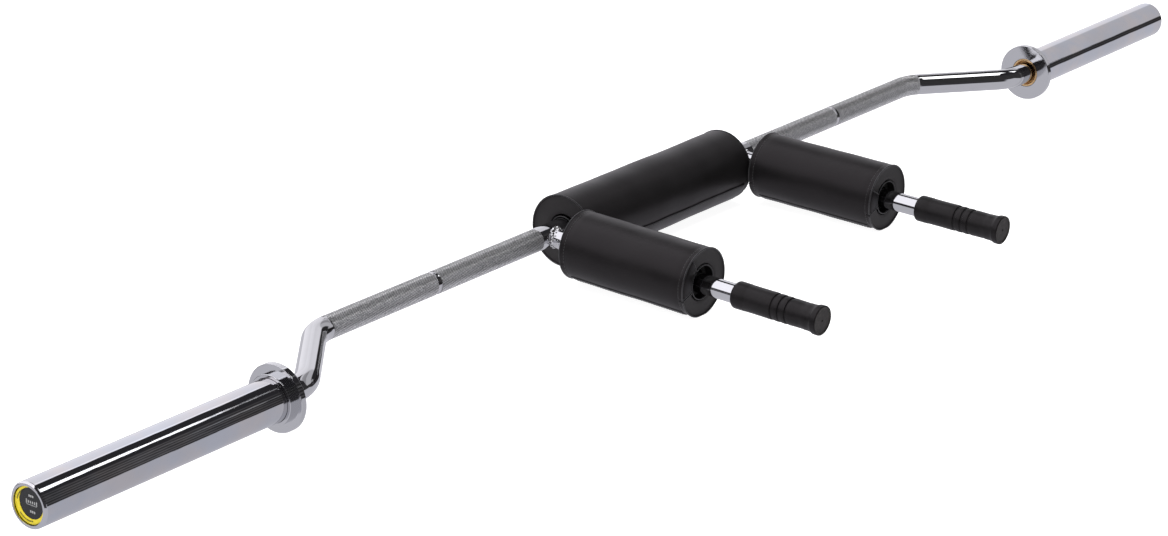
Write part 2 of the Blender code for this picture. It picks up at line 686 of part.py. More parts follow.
def sleeve_assembly(side, direction, collection, cutters, bar, looks):
    """One end of the bar. Z runs outboard along the sleeve, from the collar's inboard face."""
    place = (direction * COLLAR_SPAN / 2, -SLEEVE_FORWARD, SLEEVE_LIFT)
    axis = add_empty(side + "_sleeve_axis", collection, bar, place, (0.0, direction * math.pi / 2, 0.0))
    collar(side, collection, axis, looks["chrome"])
    sleeve(side, collection, axis, looks["chrome"])
    inner_bushing(side, collection, axis, looks["bronze"])
    outer_bushing(side, collection, axis, looks["bronze"])
    thrust_washer(side, collection, axis, looks["steel"])
    retaining_ring(side, collection, cutters, axis, looks["steel"])
    end_cap(side, collection, axis, looks["cap"])
    end_label(side, collection, axis, looks["label"])


def arm_assembly(side, direction, collection, cutters, bar, floor, clearance, looks):
    """One arm. Z runs forward along the arm from the shaft's axis, and Y is up."""
    place = (direction * ARM_SPACING / 2, 0.0, 0.0)
    axis = add_empty(side + "_arm_axis", collection, bar, place, (math.pi / 2, 0.0, direction * ARM_SPLAY))
    arm_tube(side, collection, axis, looks["chrome"], clearance)
    weld_bead(side, collection, cutters, axis, looks["weld"], clearance)
    arm_pad(side, collection, cutters, axis, floor, looks)
    grip(side, collection, axis, looks["rubber"])


def main():
    clear_scene()
    parts = new_collection("Squat bar")
    cutters = new_collection("Cutters")
    looks = {
        "chrome": material("Chrome", (0.62, 0.63, 0.65), 0.08, 1.0),
        "satin": material("Knurled chrome", (0.45, 0.45, 0.46), 0.35, 1.0),
        "weld": material("Weld", (0.5, 0.5, 0.5), 0.3, 1.0),
        "vinyl": material("Black vinyl", (0.02, 0.02, 0.022), 0.45),
        "foam": material("Grey foam", (0.12, 0.12, 0.12), 0.95),
        "rubber": material("Black rubber", (0.015, 0.015, 0.015), 0.7),
        "bronze": material("Bronze", (0.7, 0.42, 0.16), 0.3, 1.0),
        "steel": material("Plain steel", (0.4, 0.4, 0.42), 0.4, 1.0),
        "cap": material("Black plastic", (0.01, 0.01, 0.01), 0.35),
        "label": material("Yellow label", (0.9, 0.75, 0.02), 0.4),
    }
    bar_place = (0.0, SHAFT_Y, SHAFT_HEIGHT)
    bar = add_empty("bar_axis", parts, None, bar_place, (TILT, 0.0, 0.0))
    floor_size = (OVERALL_LENGTH, 2 * FRONT_REACH, SHAFT_HEIGHT)
    floor = cutter_block("floor", cutters, None, floor_size, (0.0, 0.0, -SHAFT_HEIGHT / 2))
    clearance = shaft_clearance(cutters, bar)
    shaft(parts, bar, looks["satin"])
    centre_pad(parts, cutters, bar_place, floor, looks)
    for side, direction in SIDES.items():
        arm_assembly(side, direction, parts, cutters, bar, floor, clearance, looks)
        sleeve_assembly(side, direction, parts, cutters, bar, looks)


main()
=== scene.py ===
# The squat bar's looks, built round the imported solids: chromed shaft and load sleeves, padded roll,
# padded arms and grips.
# Metres, +Z up. The bar lies on its pads with its sleeves along X and its grips towards -Y.
import math

import bmesh
import bpy
from mathutils import Matrix, Vector, noise


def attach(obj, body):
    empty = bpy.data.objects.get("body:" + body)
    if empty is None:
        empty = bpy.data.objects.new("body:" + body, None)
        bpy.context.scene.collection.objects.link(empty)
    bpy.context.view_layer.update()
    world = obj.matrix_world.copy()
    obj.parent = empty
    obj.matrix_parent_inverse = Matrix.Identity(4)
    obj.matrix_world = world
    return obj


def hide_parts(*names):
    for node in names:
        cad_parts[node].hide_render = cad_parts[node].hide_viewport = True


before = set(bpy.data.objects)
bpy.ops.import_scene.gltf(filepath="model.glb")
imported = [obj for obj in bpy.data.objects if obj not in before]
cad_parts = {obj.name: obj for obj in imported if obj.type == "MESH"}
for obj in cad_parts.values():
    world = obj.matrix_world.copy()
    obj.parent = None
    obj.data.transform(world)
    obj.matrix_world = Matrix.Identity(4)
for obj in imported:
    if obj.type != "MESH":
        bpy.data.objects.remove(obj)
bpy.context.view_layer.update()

# Sizes of the solids, as the part's source has them
COLLAR_SPAN = 1.567
SLEEVE_END = 0.3655
SLEEVE_FORWARD = 0.0943
SLEEVE_LIFT = 0.0019
SHAFT_RADIUS = 0.0143
BEND_RADIUS = 0.065
BEND_REACH = 0.121
BEND_TO_COLLAR = 0.0415
JOURNAL_RADIUS = 0.0125
ARM_SPACING = 0.396
ARM_SPLAY = math.radians(0.6)
ARM_RADIUS = 0.012
ARM_BORE = 0.0095
ARM_LENGTH = 0.392
TILT = math.radians(1.9284)
SHAFT_Y = 0.1776
SHAFT_HEIGHT = 0.0478

# Frames that pieces are modelled in, each along its own Z
BAR = Matrix.Translation((0.0, SHAFT_Y, SHAFT_HEIGHT)) @ Matrix.Rotation(TILT, 4, "X")
SIDES = {"left": 1, "right": -1}


def sleeve_frame(direction):
    """Z runs outboard along the load sleeve, from the collar's inboard face."""
    place = Matrix.Translation((direction * COLLAR_SPAN / 2, -SLEEVE_FORWARD, SLEEVE_LIFT))
    return BAR @ place @ Matrix.Rotation(direction * math.pi / 2, 4, "Y")


def arm_frame(direction):
    """Z runs forward along the arm from the shaft's axis, and Y is up."""
    place = Matrix.Translation((direction * ARM_SPACING / 2, 0.0, 0.0))
    return BAR @ place @ Matrix.Rotation(direction * ARM_SPLAY, 4, "Z") @ Matrix.Rotation(math.pi / 2, 4, "X")


# Camera, at the photograph's view
CAMERA_PLACE = (-3.18511, -2.12197, 1.37004)
CAMERA_YAW = math.radians(53.0859)
CAMERA_PITCH = math.radians(-19.8895)
CAMERA_ROLL = math.radians(0.7918)
CAMERA_LENS = 101.79


def add_object(name, data):
    thing = bpy.data.objects.new(name, data)
    bpy.context.scene.collection.objects.link(thing)
    return thing


def add_camera():
    level = math.cos(CAMERA_PITCH)
    ahead = Vector((math.sin(CAMERA_YAW) * level, math.cos(CAMERA_YAW) * level, math.sin(CAMERA_PITCH)))
    flat_right = Vector((math.cos(CAMERA_YAW), -math.sin(CAMERA_YAW), 0.0))
    flat_up = flat_right.cross(ahead)
    right = math.cos(CAMERA_ROLL) * flat_right + math.sin(CAMERA_ROLL) * flat_up
    up = math.cos(CAMERA_ROLL) * flat_up - math.sin(CAMERA_ROLL) * flat_right
    camera = add_object("camera", bpy.data.cameras.new("camera"))
    camera.data.sensor_width = 36.0
    camera.data.lens = CAMERA_LENS
    camera.data.clip_start = 0.05
    camera.data.clip_end = 200.0
    turn = Matrix((right, up, -ahead)).transposed().to_4x4()
    camera.matrix_world = Matrix.Translation(CAMERA_PLACE) @ turn
    bpy.context.scene.camera = camera


# Materials


def opaque(colour):
    return (*colour, 1.0) if isinstance(colour, tuple) else colour


class Net:
    """The nodes of a material or of the world."""

    def __init__(self, owner):
        owner.use_nodes = True
        self.nodes, self.links = owner.node_tree.nodes, owner.node_tree.links

    def add(self, kind, output, inputs, **settings):
        """A new node's output. Each input is another node's output or a plain value."""
        node = self.nodes.new("ShaderNode" + kind)
        for key, value in settings.items():
            setattr(node, key, value)
        for key, value in inputs.items():
            if isinstance(value, bpy.types.NodeSocket):
                self.links.new(value, node.inputs[key])
            else:
                node.inputs[key].default_value = value
        return node.outputs[output]

    def maths(self, operation, *values):
        return self.add("Math", 0, dict(enumerate(values)), operation=operation)

    def span(self, value, low, high, to_low=0.0, to_high=1.0, ease="LINEAR"):
        """A value between two levels, spread over two others."""
        levels = {"Value": value, "From Min": low, "From Max": high, "To Min": to_low, "To Max": to_high}
        return self.add("MapRange", "Result", levels, interpolation_type=ease)

    def mixed(self, factor, first, second):
        """A colour between two, by a factor."""
        return self.add("Mix", 2, {"Factor": factor, 6: opaque(first), 7: opaque(second)}, data_type="RGBA")


SLEEVE_AXIS = (0.083289, 0.046526)  # its Y and Z


class Look(Net):
    """A material that reads its piece's own coordinates."""

    def __init__(self, name, colour, roughness, metallic=0.0, specular=0.5, sheen=0.0):
        self.material = bpy.data.materials.new(name)
        super().__init__(self.material)
        self.shader = self.nodes["Principled BSDF"]
        self.set("Base Color", opaque(colour))
        self.set("Roughness", roughness)
        self.set("Metallic", metallic)
        self.set("Specular IOR Level", specular)
        self.set("Sheen Weight", sheen)
        self.place = self.nodes.new("ShaderNodeTexCoord").outputs["Object"]
        self.last_normal = None

    def set(self, socket, value):
        self.shader.inputs[socket].default_value = value

    def feed(self, value, socket):
        self.links.new(value, self.shader.inputs[socket])

    def mapped(self, scale, turn=(0.0, 0.0, 0.0), shift=(0.0, 0.0, 0.0)):
        return self.add(
            "Mapping", "Vector", {"Vector": self.place, "Location": shift, "Rotation": turn, "Scale": scale}
        )

    def noise(self, scale, detail=3.0, roughness=0.5, distortion=0.0, stretch=None, turn=(0.0, 0.0, 0.0)):
        place = self.mapped(stretch, turn) if stretch else self.place
        levels = {"Scale": scale, "Detail": detail, "Roughness": roughness, "Distortion": distortion}
        return self.add("TexNoise", "Fac", {"Vector": place, **levels})

    def cells(self, scale, feature="F1"):
        return self.add("TexVoronoi", "Distance", {"Vector": self.place, "Scale": scale}, feature=feature)

    def tint(self, value, low, high, first, second):
        self.feed(self.mixed(self.span(value, low, high), first, second), "Base Color")

    def gloss(self, value, low, high, to_low, to_high):
        self.feed(self.span(value, low, high, to_low, to_high), "Roughness")

    def bump(self, height, strength, distance):
        inputs = {"Height": height, "Strength": strength, "Distance": distance}
        if self.last_normal is not None:
            inputs["Normal"] = self.last_normal
        self.last_normal = self.add("Bump", "Normal", inputs)
        self.feed(self.last_normal, "Normal")

    def lathe_rings(self, scale, strength):
        """Fine rings round a load sleeve's axis."""
        y, z = SLEEVE_AXIS
        from_axis = self.mapped((0.0, 1.0, 1.0), shift=(0.0, -y, -z))
        radius = self.add("VectorMath", "Value", {0: from_axis}, operation="LENGTH")
        levels = {"W": radius, "Scale": scale, "Detail": 2.0}
        self.bump(self.add("TexNoise", "Fac", levels, noise_dimensions="1D"), strength, 0.0001)


def polished_chrome():
    look = Look("polished_chrome", (0.62, 0.625, 0.64), 0.06, metallic=1.0)
    smears = look.noise(14.0, detail=5.0, roughness=0.6)
    look.gloss(smears, 0.3, 0.75, 0.02, 0.06)
    look.tint(smears, 0.35, 0.8, (0.635, 0.64, 0.655), (0.58, 0.58, 0.59))
    look.bump(look.noise(420.0, detail=2.0), 0.05, 0.0002)
    look.bump(look.noise(16.0, detail=1.0, stretch=(1.0, 2.2, 2.2)), 0.16, 0.0012)
    return look


def ground_sleeve():
    """Chrome over a ground tube: fine rings round the axis, and a faint waviness along it."""
    look = Look("ground_sleeve", (0.62, 0.625, 0.645), 0.07, metallic=1.0)
    smears = look.noise(9.0, detail=5.0, roughness=0.6)
    look.gloss(smears, 0.3, 0.8, 0.02, 0.06)
    cloudy = look.noise(1.0, stretch=(26.0, 30.0, 30.0))
    clouds = look.mixed(look.span(cloudy, 0.38, 0.62), (0.6, 0.625, 0.68), (0.67, 0.645, 0.65))
    look.tint(smears, 0.4, 0.8, clouds, (0.58, 0.58, 0.6))
    for detail, stretch, strength, depth in (
        (2.0, (1500.0, 6.0, 6.0), 0.05, 0.0001),
        (1.0, (30.0, 12.0, 12.0), 0.08, 0.0013),
        (3.0, (14.0, 260.0, 260.0), 0.2, 0.0003),
    ):
        look.bump(look.noise(1.0, detail=detail, stretch=stretch), strength, depth)
    return look


def turned_collar():
    """Chrome over a turned flange: rings left by the lathe on its faces."""
    look = Look("turned_collar", (0.62, 0.625, 0.64), 0.1, metallic=1.0)
    look.lathe_rings(2600.0, 0.16)
    look.gloss(look.noise(26.0, detail=4.0, roughness=0.6), 0.3, 0.75, 0.03, 0.07)
    return look


def knurled_chrome():
    """Chrome over the knurl, painted greyer the lower a point lies: painted shade between the points."""
    look = Look("knurled_chrome", (0.6, 0.6, 0.61), 0.3, metallic=0.85)
    # Painted shade: the colour darkens from the points down into the valleys between them.
    height = look.span(look.add("Attribute", "Fac", {}, attribute_name="tooth"), 0.12, 0.6)
    worn = look.noise(30.0, detail=4.0, roughness=0.65)
    grain = look.span(look.noise(520.0, roughness=0.7), 0.4, 0.6, 0.55, 1.5)
    patches = look.span(worn, 0.2, 0.8, 0.85, 1.1)
    level = look.maths("MULTIPLY", look.maths("MULTIPLY", height, grain), patches)
    look.feed(look.mixed(level, (0.13, 0.13, 0.14), (1.0, 1.0, 1.0)), "Base Color")
    look.gloss(worn, 0.25, 0.8, 0.26, 0.36)
    look.bump(look.noise(1300.0, detail=2.0), 0.12, 0.0001)
    return look


def plated_weld():
    look = Look("plated_weld", (0.85, 0.85, 0.86), 0.15, metallic=0.9)
    lumps = look.noise(210.0, detail=2.0, distortion=0.5)
    look.bump(lumps, 0.6, 0.0012)
    # Painted shade: the hollows between the lumps are painted near black.
    look.tint(lumps, 0.4, 0.5, (0.03, 0.028, 0.026), (0.85, 0.85, 0.86))
    look.gloss(lumps, 0.35, 0.7, 0.3, 0.12)
    return look


def grained(look, colour, lifted, grain_scale, depth):
    """The grain of a soft coated cloth, with handling marks in its gloss."""
    creases = look.noise(grain_scale * 0.7, detail=4.0, roughness=0.6)
    cells = look.cells(grain_scale, "SMOOTH_F1")
    look.bump(look.maths("MULTIPLY", cells, look.span(creases, 0.2, 0.8, 0.7, 1.3)), 0.35, depth)
    look.bump(look.noise(24.0), 0.25, 0.0012)
    smears = look.noise(17.0, detail=5.0, roughness=0.62)
    look.tint(smears, 0.35, 0.75, colour, lifted)
    low = look.shader.inputs["Roughness"].default_value
    look.gloss(smears, 0.3, 0.75, low - 0.05, low + 0.07)
    return look


WARM_SHINE = (0.98, 0.9, 0.94, 1.0)


def vinyl():
    look = Look("black_vinyl", (0.0075, 0.007, 0.0075), 0.4, specular=0.23, sheen=0.01)
    look.set("Sheen Roughness", 0.5)
    look.set("Sheen Tint", (0.75, 0.72, 0.8, 1.0))
    look.set("Specular Tint", WARM_SHINE)
    return grained(look, (0.0064, 0.0058, 0.006), (0.0094, 0.0086, 0.0088), 1100.0, 0.00012)


def vinyl_end():
    """The flat discs and hems: the same cloth, duller, with painted light: its colour lighter, as if lit."""
    # Painted light: a lighter copy of the black vinyl for the flat ends.
    look = Look("vinyl_disc", (0.018, 0.0165, 0.0172), 0.6, specular=0.25, sheen=0.05)
    look.set("Specular Tint", WARM_SHINE)
    look.set("Sheen Roughness", 0.6)
    return grained(look, (0.017, 0.0162, 0.0165), (0.027, 0.0258, 0.0262), 1100.0, 0.00012)


def piping_look():
    look = Look("vinyl_piping", (0.02, 0.019, 0.021), 0.34, specular=0.45, sheen=0.05)
    return grained(look, (0.017, 0.0165, 0.018), (0.027, 0.026, 0.028), 1500.0, 0.0001)


def thread_look():
    look = Look("black_thread", (0.03, 0.029, 0.03), 0.55, sheen=0.3)
    twist = look.noise(1.0, detail=2.0, stretch=(1400.0, 1400.0, 1400.0), turn=(0.6, 0.6, 0.6))
    look.bump(twist, 0.5, 0.0002)
    look.tint(twist, 0.35, 0.7, (0.018, 0.018, 0.018), (0.05, 0.05, 0.052))
    return look


def foam_look():
    # Painted near black: partly the foam's own dark grey, partly painted shade for the holes it is seen in.
    look = Look("grey_foam", (0.012, 0.012, 0.012), 0.95, specular=0.1)
    pores = look.cells(900.0)
    look.bump(pores, 0.6, 0.0004)
    look.tint(pores, 0.1, 0.6, (0.006, 0.006, 0.006), (0.018, 0.018, 0.018))
    return look


def rubber_look():
    look = Look("black_rubber", (0.0045, 0.0041, 0.0043), 0.4, specular=0.24)
    look.set("Specular Tint", (0.98, 0.92, 0.94, 1.0))
    look.bump(look.noise(1700.0, roughness=0.6), 0.3, 0.00012)
    dust = look.noise(48.0, detail=5.0, roughness=0.7)
    look.tint(dust, 0.4, 0.78, (0.005, 0.0046, 0.0048), (0.0105, 0.0097, 0.01))
    look.gloss(dust, 0.3, 0.75, 0.34, 0.5)
    return look


def rubber_end_look():
    """The knobs' flat ends, rubbed a little brown."""
    look = Look("worn_rubber", (0.022, 0.019, 0.0175), 0.5, specular=0.3)
    look.bump(look.noise(1300.0, roughness=0.6), 0.3, 0.00012)
    dust = look.noise(190.0, detail=5.0, roughness=0.7)
    look.tint(dust, 0.38, 0.7, (0.017, 0.0148, 0.0138), (0.04, 0.0345, 0.032))
    return look


def bronze_look():
    look = Look("turned_bronze", (0.85, 0.6, 0.33), 0.25, metallic=1.0)
    look.lathe_rings(3000.0, 0.25)
    tarnish = look.noise(120.0, detail=4.0)
    look.tint(tarnish, 0.35, 0.75, (0.92, 0.64, 0.34), (0.66, 0.42, 0.19))
    look.gloss(tarnish, 0.3, 0.7, 0.18, 0.4)
    return look


def steel_look():
    look = Look("ground_steel", (0.42, 0.42, 0.44), 0.35, metallic=1.0)
    marks = look.noise(300.0, detail=4.0)
    look.bump(marks, 0.2, 0.0001)
    look.tint(marks, 0.3, 0.7, (0.36, 0.36, 0.38), (0.5, 0.5, 0.52))
    return look


def cap_look():
    look = Look("black_cap", (0.008, 0.008, 0.009), 0.22)
    look.bump(look.noise(900.0, detail=2.0), 0.1, 0.0001)
    marks = look.noise(70.0, detail=4.0)
    look.tint(marks, 0.4, 0.8, (0.007, 0.007, 0.008), (0.016, 0.016, 0.017))
    look.gloss(marks, 0.3, 0.7, 0.16, 0.32)
    return look


def print_look(name, colour, worn):
    """Printed film: an even colour with a little wear."""
    look = Look(name, colour, 0.35)
    wear = look.noise(520.0, detail=4.0, roughness=0.65)
    look.tint(wear, 0.55, 0.78, colour, worn)
    look.bump(wear, 0.08, 0.00005)
    return look


# Modelling

AXIS_RADIUS = 0.00001  # a ring this small is one point
MERGE = 0.00003
NEAR = 0.00002
SMOOTH = math.radians(34)
SOFT_SMOOTH = math.radians(60)
BRACE = 1.6  # distance from a rounded corner to the ring beside it, in the rounding's widths


def deselect_all():
    bpy.ops.object.select_all(action="DESELECT")


def make_active(piece):
    deselect_all()
    piece.select_set(True)
    bpy.context.view_layer.objects.active = piece


def edit(piece):
    make_active(piece)
    bpy.ops.object.mode_set(mode="EDIT")


def leave_edit():
    bpy.ops.object.mode_set(mode="OBJECT")


def settle(piece, matrix=None):
    """Puts a piece's place into its mesh."""
    if matrix is not None:
        piece.matrix_world = matrix
    make_active(piece)
    bpy.ops.object.transform_apply(location=True, rotation=True, scale=True)


def edit_all(piece):
    edit(piece)
    bpy.ops.mesh.select_all(action="SELECT")


def extrude(rise):
    bpy.ops.mesh.extrude_region_move(TRANSFORM_OT_translate={"value": (0.0, 0.0, rise)})


def widen(share, height):
    bpy.ops.transform.resize(value=(share, share, 1.0), center_override=(0.0, 0.0, height))


def close_up(piece, merge=None):
    """Merges a piece's doubles and turns its faces outwards."""
    edit_all(piece)
    if merge is not None:
        bpy.ops.mesh.remove_doubles(threshold=merge)
    bpy.ops.mesh.normals_make_consistent(inside=False)
    leave_edit()


def face_away(piece, middle):
    """Turns an open sheet's faces away from a point."""
    close_up(piece)
    if sum((vertex.co - middle).dot(vertex.normal) for vertex in piece.data.vertices) < 0.0:
        edit_all(piece)
        bpy.ops.mesh.flip_normals()
        leave_edit()


def added(add, **settings):
    """A new primitive, alone in the selection."""
    deselect_all()
    add(**settings)
    return bpy.context.object


def block(size, place, turn=0.0):
    piece = added(bpy.ops.mesh.primitive_cube_add, size=1.0)
    piece.scale, piece.location, piece.rotation_euler = size, place, (0.0, 0.0, turn)
    settle(piece)
    return piece


def polar(off, turn, z):
    """A place at a distance and an angle from the Z axis."""
    return Vector((off * math.cos(turn), off * math.sin(turn), z))


def select_edges(piece, test):
    bpy.ops.mesh.select_mode(type="EDGE")
    shape = bmesh.from_edit_mesh(piece.data)
    for edge in shape.edges:
        edge.select_set(all(test(vertex.co) for vertex in edge.verts))
    shape.select_flush_mode()
    bmesh.update_edit_mesh(piece.data)


def ring_test(radius, height):
    def on_ring(co):
        return abs(math.hypot(co.x, co.y) - radius) < NEAR and abs(co.z - height) < NEAR

    return on_ring


def braced(points, rounds):
    """Adds a ring on each side of every rounded corner, so that the faces beyond it are shaded flat."""
    reach = {points[index]: BRACE * width for index, width in rounds}
    path = points[:1]
    for start, end in zip(points, points[1:]):
        length = math.dist(start, end)
        near_start, near_end = reach.get(start, 0.0), reach.get(end, 0.0)
        if near_start + near_end < 0.8 * length:
            for off in (near_start, length - near_end):
                if 0.0 < off < length:
                    path.append(tuple(a + (b - a) * off / length for a, b in zip(start, end)))
        path.append(end)
    return path


def turned(name, outline, sides, rounds=(), closed=False):
    """A round piece: a circle extruded and scaled along (radius, height) points, its corners rounded."""
    points = [(max(radius, AXIS_RADIUS), height) for radius, height in outline]
    if closed:
        points.append(points[0])
    place = (0.0, 0.0, points[0][1])
    piece = added(bpy.ops.mesh.primitive_circle_add, vertices=sides, radius=points[0][0], location=place)
    piece.name = name
    settle(piece)
    edit_all(piece)
    path = braced(points, rounds)
    for (radius, height), (next_radius, next_height) in zip(path, path[1:]):
        extrude(next_height - height)
        widen(next_radius / radius, next_height)
    bpy.ops.mesh.select_all(action="SELECT")
    bpy.ops.mesh.remove_doubles(threshold=MERGE)
    bpy.ops.mesh.normals_make_consistent(inside=False)
    for index, width in rounds:
        select_edges(piece, ring_test(*points[index]))
        bpy.ops.mesh.bevel(offset=width, segments=4, affect="EDGES")
    leave_edit()
    return piece


def apply_modifier(piece, kind, **settings):
    """Adds one modifier and applies it."""
    modifier = piece.modifiers.new(kind.title(), kind)
    for key, value in settings.items():
        setattr(modifier, key, value)
    make_active(piece)
    bpy.ops.object.modifier_apply(modifier=modifier.name)


def displace(piece, height):
    """Moves each point along its normal by a height worked out from its place."""
    normals = [vertex.normal.copy() for vertex in piece.data.vertices]
    for vertex, normal in zip(piece.data.vertices, normals):
        vertex.co += normal * height(vertex.co)


def cut(piece, cutter):
    """Takes a cutter's shape out of a piece."""
    settle(cutter)
    apply_modifier(piece, "BOOLEAN", operation="DIFFERENCE", object=cutter, solver="EXACT")
    bpy.data.objects.remove(cutter, do_unlink=True)


def joined(name, pieces):
    deselect_all()
    for piece in pieces:
        piece.select_set(True)
    bpy.context.view_layer.objects.active = pieces[0]
    bpy.ops.object.join()
    piece = bpy.context.object
    piece.name = name
    return piece


def dress(piece, body, look, nodes=(), matrix=None, smooth=SMOOTH):
    """Places, smooths and paints a finished piece, and fastens it to its body."""
    settle(piece, matrix)
    if smooth is not None:
        bpy.ops.object.shade_smooth_by_angle(angle=smooth)
    piece.data.materials.clear()
    piece.data.materials.append(look.material)
    piece.data.name = piece.name
    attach(piece, body)
    if nodes:
        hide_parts(*nodes)


def paint_faces(piece, look, matrix, test):
    """Gives a second look to the faces whose middle and normal, in the piece's own frame, pass a test."""
    piece.data.materials.append(look.material)
    back = matrix.inverted()
    turn = back.to_3x3()
    for face in piece.data.polygons:
        face.material_index = int(test(back @ face.center, turn @ face.normal))


def tube_along(name, points, radii, sides):
    """A round bar along points, each with its own radius, made a mesh."""
    curve = bpy.data.curves.new(name, "CURVE")
    curve.dimensions = "3D"
    curve.bevel_depth = 1.0
    curve.bevel_resolution = sides // 2 - 2
    curve.resolution_u = 1
    curve.use_fill_caps = True
    spline = curve.splines.new("POLY")
    spline.points.add(len(points) - 1)
    for point, place, radius in zip(spline.points, points, radii):
        point.co = (*place, 1.0)
        point.radius = radius
    make_active(add_object(name, curve))
    bpy.ops.object.convert(target="MESH")
    piece = bpy.context.object
    close_up(piece, NEAR)
    return piece


# Shaft

ARC_STEPS = 22
SHAFT_SIDES = 64
SHAFT_TIP = 0.3467  # from the collar's inboard face
KNURL_CORE = 0.01385
RING_CORE = 0.0138
KNURL_ENDS = (-0.6047, 0.6307)  # along the bar, so that both lie a little round the bends
KNURLS = {  # name: start and end along the bar
    "right_knurl_outer": (KNURL_ENDS[0], -0.4209),
    "right_knurl_inner": (-0.4139, -0.2230),
    "left_knurl_inner": (0.2230, 0.4208),
    "left_knurl_outer": (0.4278, KNURL_ENDS[1]),
}
KNURL_STEP = 0.0017
KNURL_SIDES = 84
KNURL_LOW = 0.01399
KNURL_HIGH = 0.01436
MIDDLE = (  # along the bar: a core under the knurl, and the two grip marks turned into it
    (-0.4207, KNURL_CORE), (-0.4204, RING_CORE), (-0.4144, RING_CORE), (-0.4141, KNURL_CORE),
    (-0.2233, KNURL_CORE), (-0.2229, SHAFT_RADIUS), (0.2229, SHAFT_RADIUS), (0.2233, KNURL_CORE),
    (0.4210, KNURL_CORE), (0.4213, RING_CORE), (0.4273, RING_CORE), (0.4276, KNURL_CORE),
)
BEND_TURN = math.atan2(math.hypot(SLEEVE_FORWARD, SLEEVE_LIFT), BEND_REACH)
BEND_START = COLLAR_SPAN / 2 - BEND_TO_COLLAR - BEND_REACH - BEND_RADIUS * math.tan(BEND_TURN / 2)


def round_the_bend(co):
    """Takes a point beside the straight bar's continuation to where it lies on the first bend."""
    over = abs(co.x) - BEND_START
    if over <= 0.0:
        return co
    side = math.copysign(1.0, co.x)
    outside = Vector((0.0, SLEEVE_FORWARD, -SLEEVE_LIFT)).normalized()
    above = Vector((0.0, SLEEVE_LIFT, SLEEVE_FORWARD)).normalized()
    turn = over / BEND_RADIUS
    off = BEND_RADIUS + co.dot(outside)
    along = Vector((side, 0.0, 0.0))
    past = along * (BEND_START + off * math.sin(turn)) + outside * (off * math.cos(turn) - BEND_RADIUS)
    return past + above * co.dot(above)


def bent(corners, radius):
    """The corners of a path, each inner one made an arc."""
    path = []
    for before, corner, after in zip(corners, corners[1:], corners[2:]):
        inward = (before - corner).normalized()
        outward = (after - corner).normalized()
        turn = math.pi - inward.angle(outward)
        tangent = radius * math.tan(turn / 2)
        centre = corner + (inward + outward).normalized() * (radius / math.cos(turn / 2))
        start = corner + inward * tangent - centre
        end = corner + outward * tangent - centre
        for i in range(ARC_STEPS + 1):
            share = i / ARC_STEPS
            spoke = (start * math.sin((1 - share) * turn) + end * math.sin(share * turn)) / math.sin(turn)
            path.append(centre + spoke)
    return path


def half_shaft(side):
    """Points and radii from the first bend outwards: two bends, the collar, the journal and its groove."""
    knurl_end = abs(KNURL_ENDS[0 if side < 0 else 1])
    outer = COLLAR_SPAN / 2 - BEND_TO_COLLAR
    inner = outer - BEND_REACH
    tip = COLLAR_SPAN / 2 + SHAFT_TIP
    corners = [
        Vector((0.0, 0.0, 0.0)),
        Vector((side * inner, 0.0, 0.0)),
        Vector((side * outer, -SLEEVE_FORWARD, SLEEVE_LIFT)),
        Vector((side * tip, -SLEEVE_FORWARD, SLEEVE_LIFT)),
    ]
    path = bent(corners, BEND_RADIUS)
    stations = []
    for i, point in enumerate(path):
        along = BEND_START + BEND_RADIUS * BEND_TURN * i / ARC_STEPS
        if i <= ARC_STEPS and along < knurl_end - 0.0003:
            stations.append((point, KNURL_CORE))
        else:
            if stations[-1][1] == KNURL_CORE:
                for share, radius in ((-0.0002, KNURL_CORE), (0.0002, SHAFT_RADIUS)):
                    stations.append((round_the_bend(Vector((side * (knurl_end + share), 0.0, 0.0))), radius))
            stations.append((point, SHAFT_RADIUS))
    for z, radius in (
        (0.3144, SHAFT_RADIUS), (0.3148, JOURNAL_RADIUS), (0.3411, JOURNAL_RADIUS), (0.3414, 0.0115),
        (0.3435, 0.0115), (0.3437, JOURNAL_RADIUS), (0.3452, JOURNAL_RADIUS), (SHAFT_TIP, 0.011),
    ):
        stations.append((Vector((side * (COLLAR_SPAN / 2 + z), -SLEEVE_FORWARD, SLEEVE_LIFT)), radius))
    return stations


def make_shaft(look):
    middle = [(Vector((x, 0.0, 0.0)), radius) for x, radius in MIDDLE]
    points, radii = zip(*reversed(half_shaft(-1)), *middle, *half_shaft(1))
    piece = tube_along("shaft_bar", points, radii, SHAFT_SIDES)
    dress(piece, "bar", look, ("shaft",), BAR)


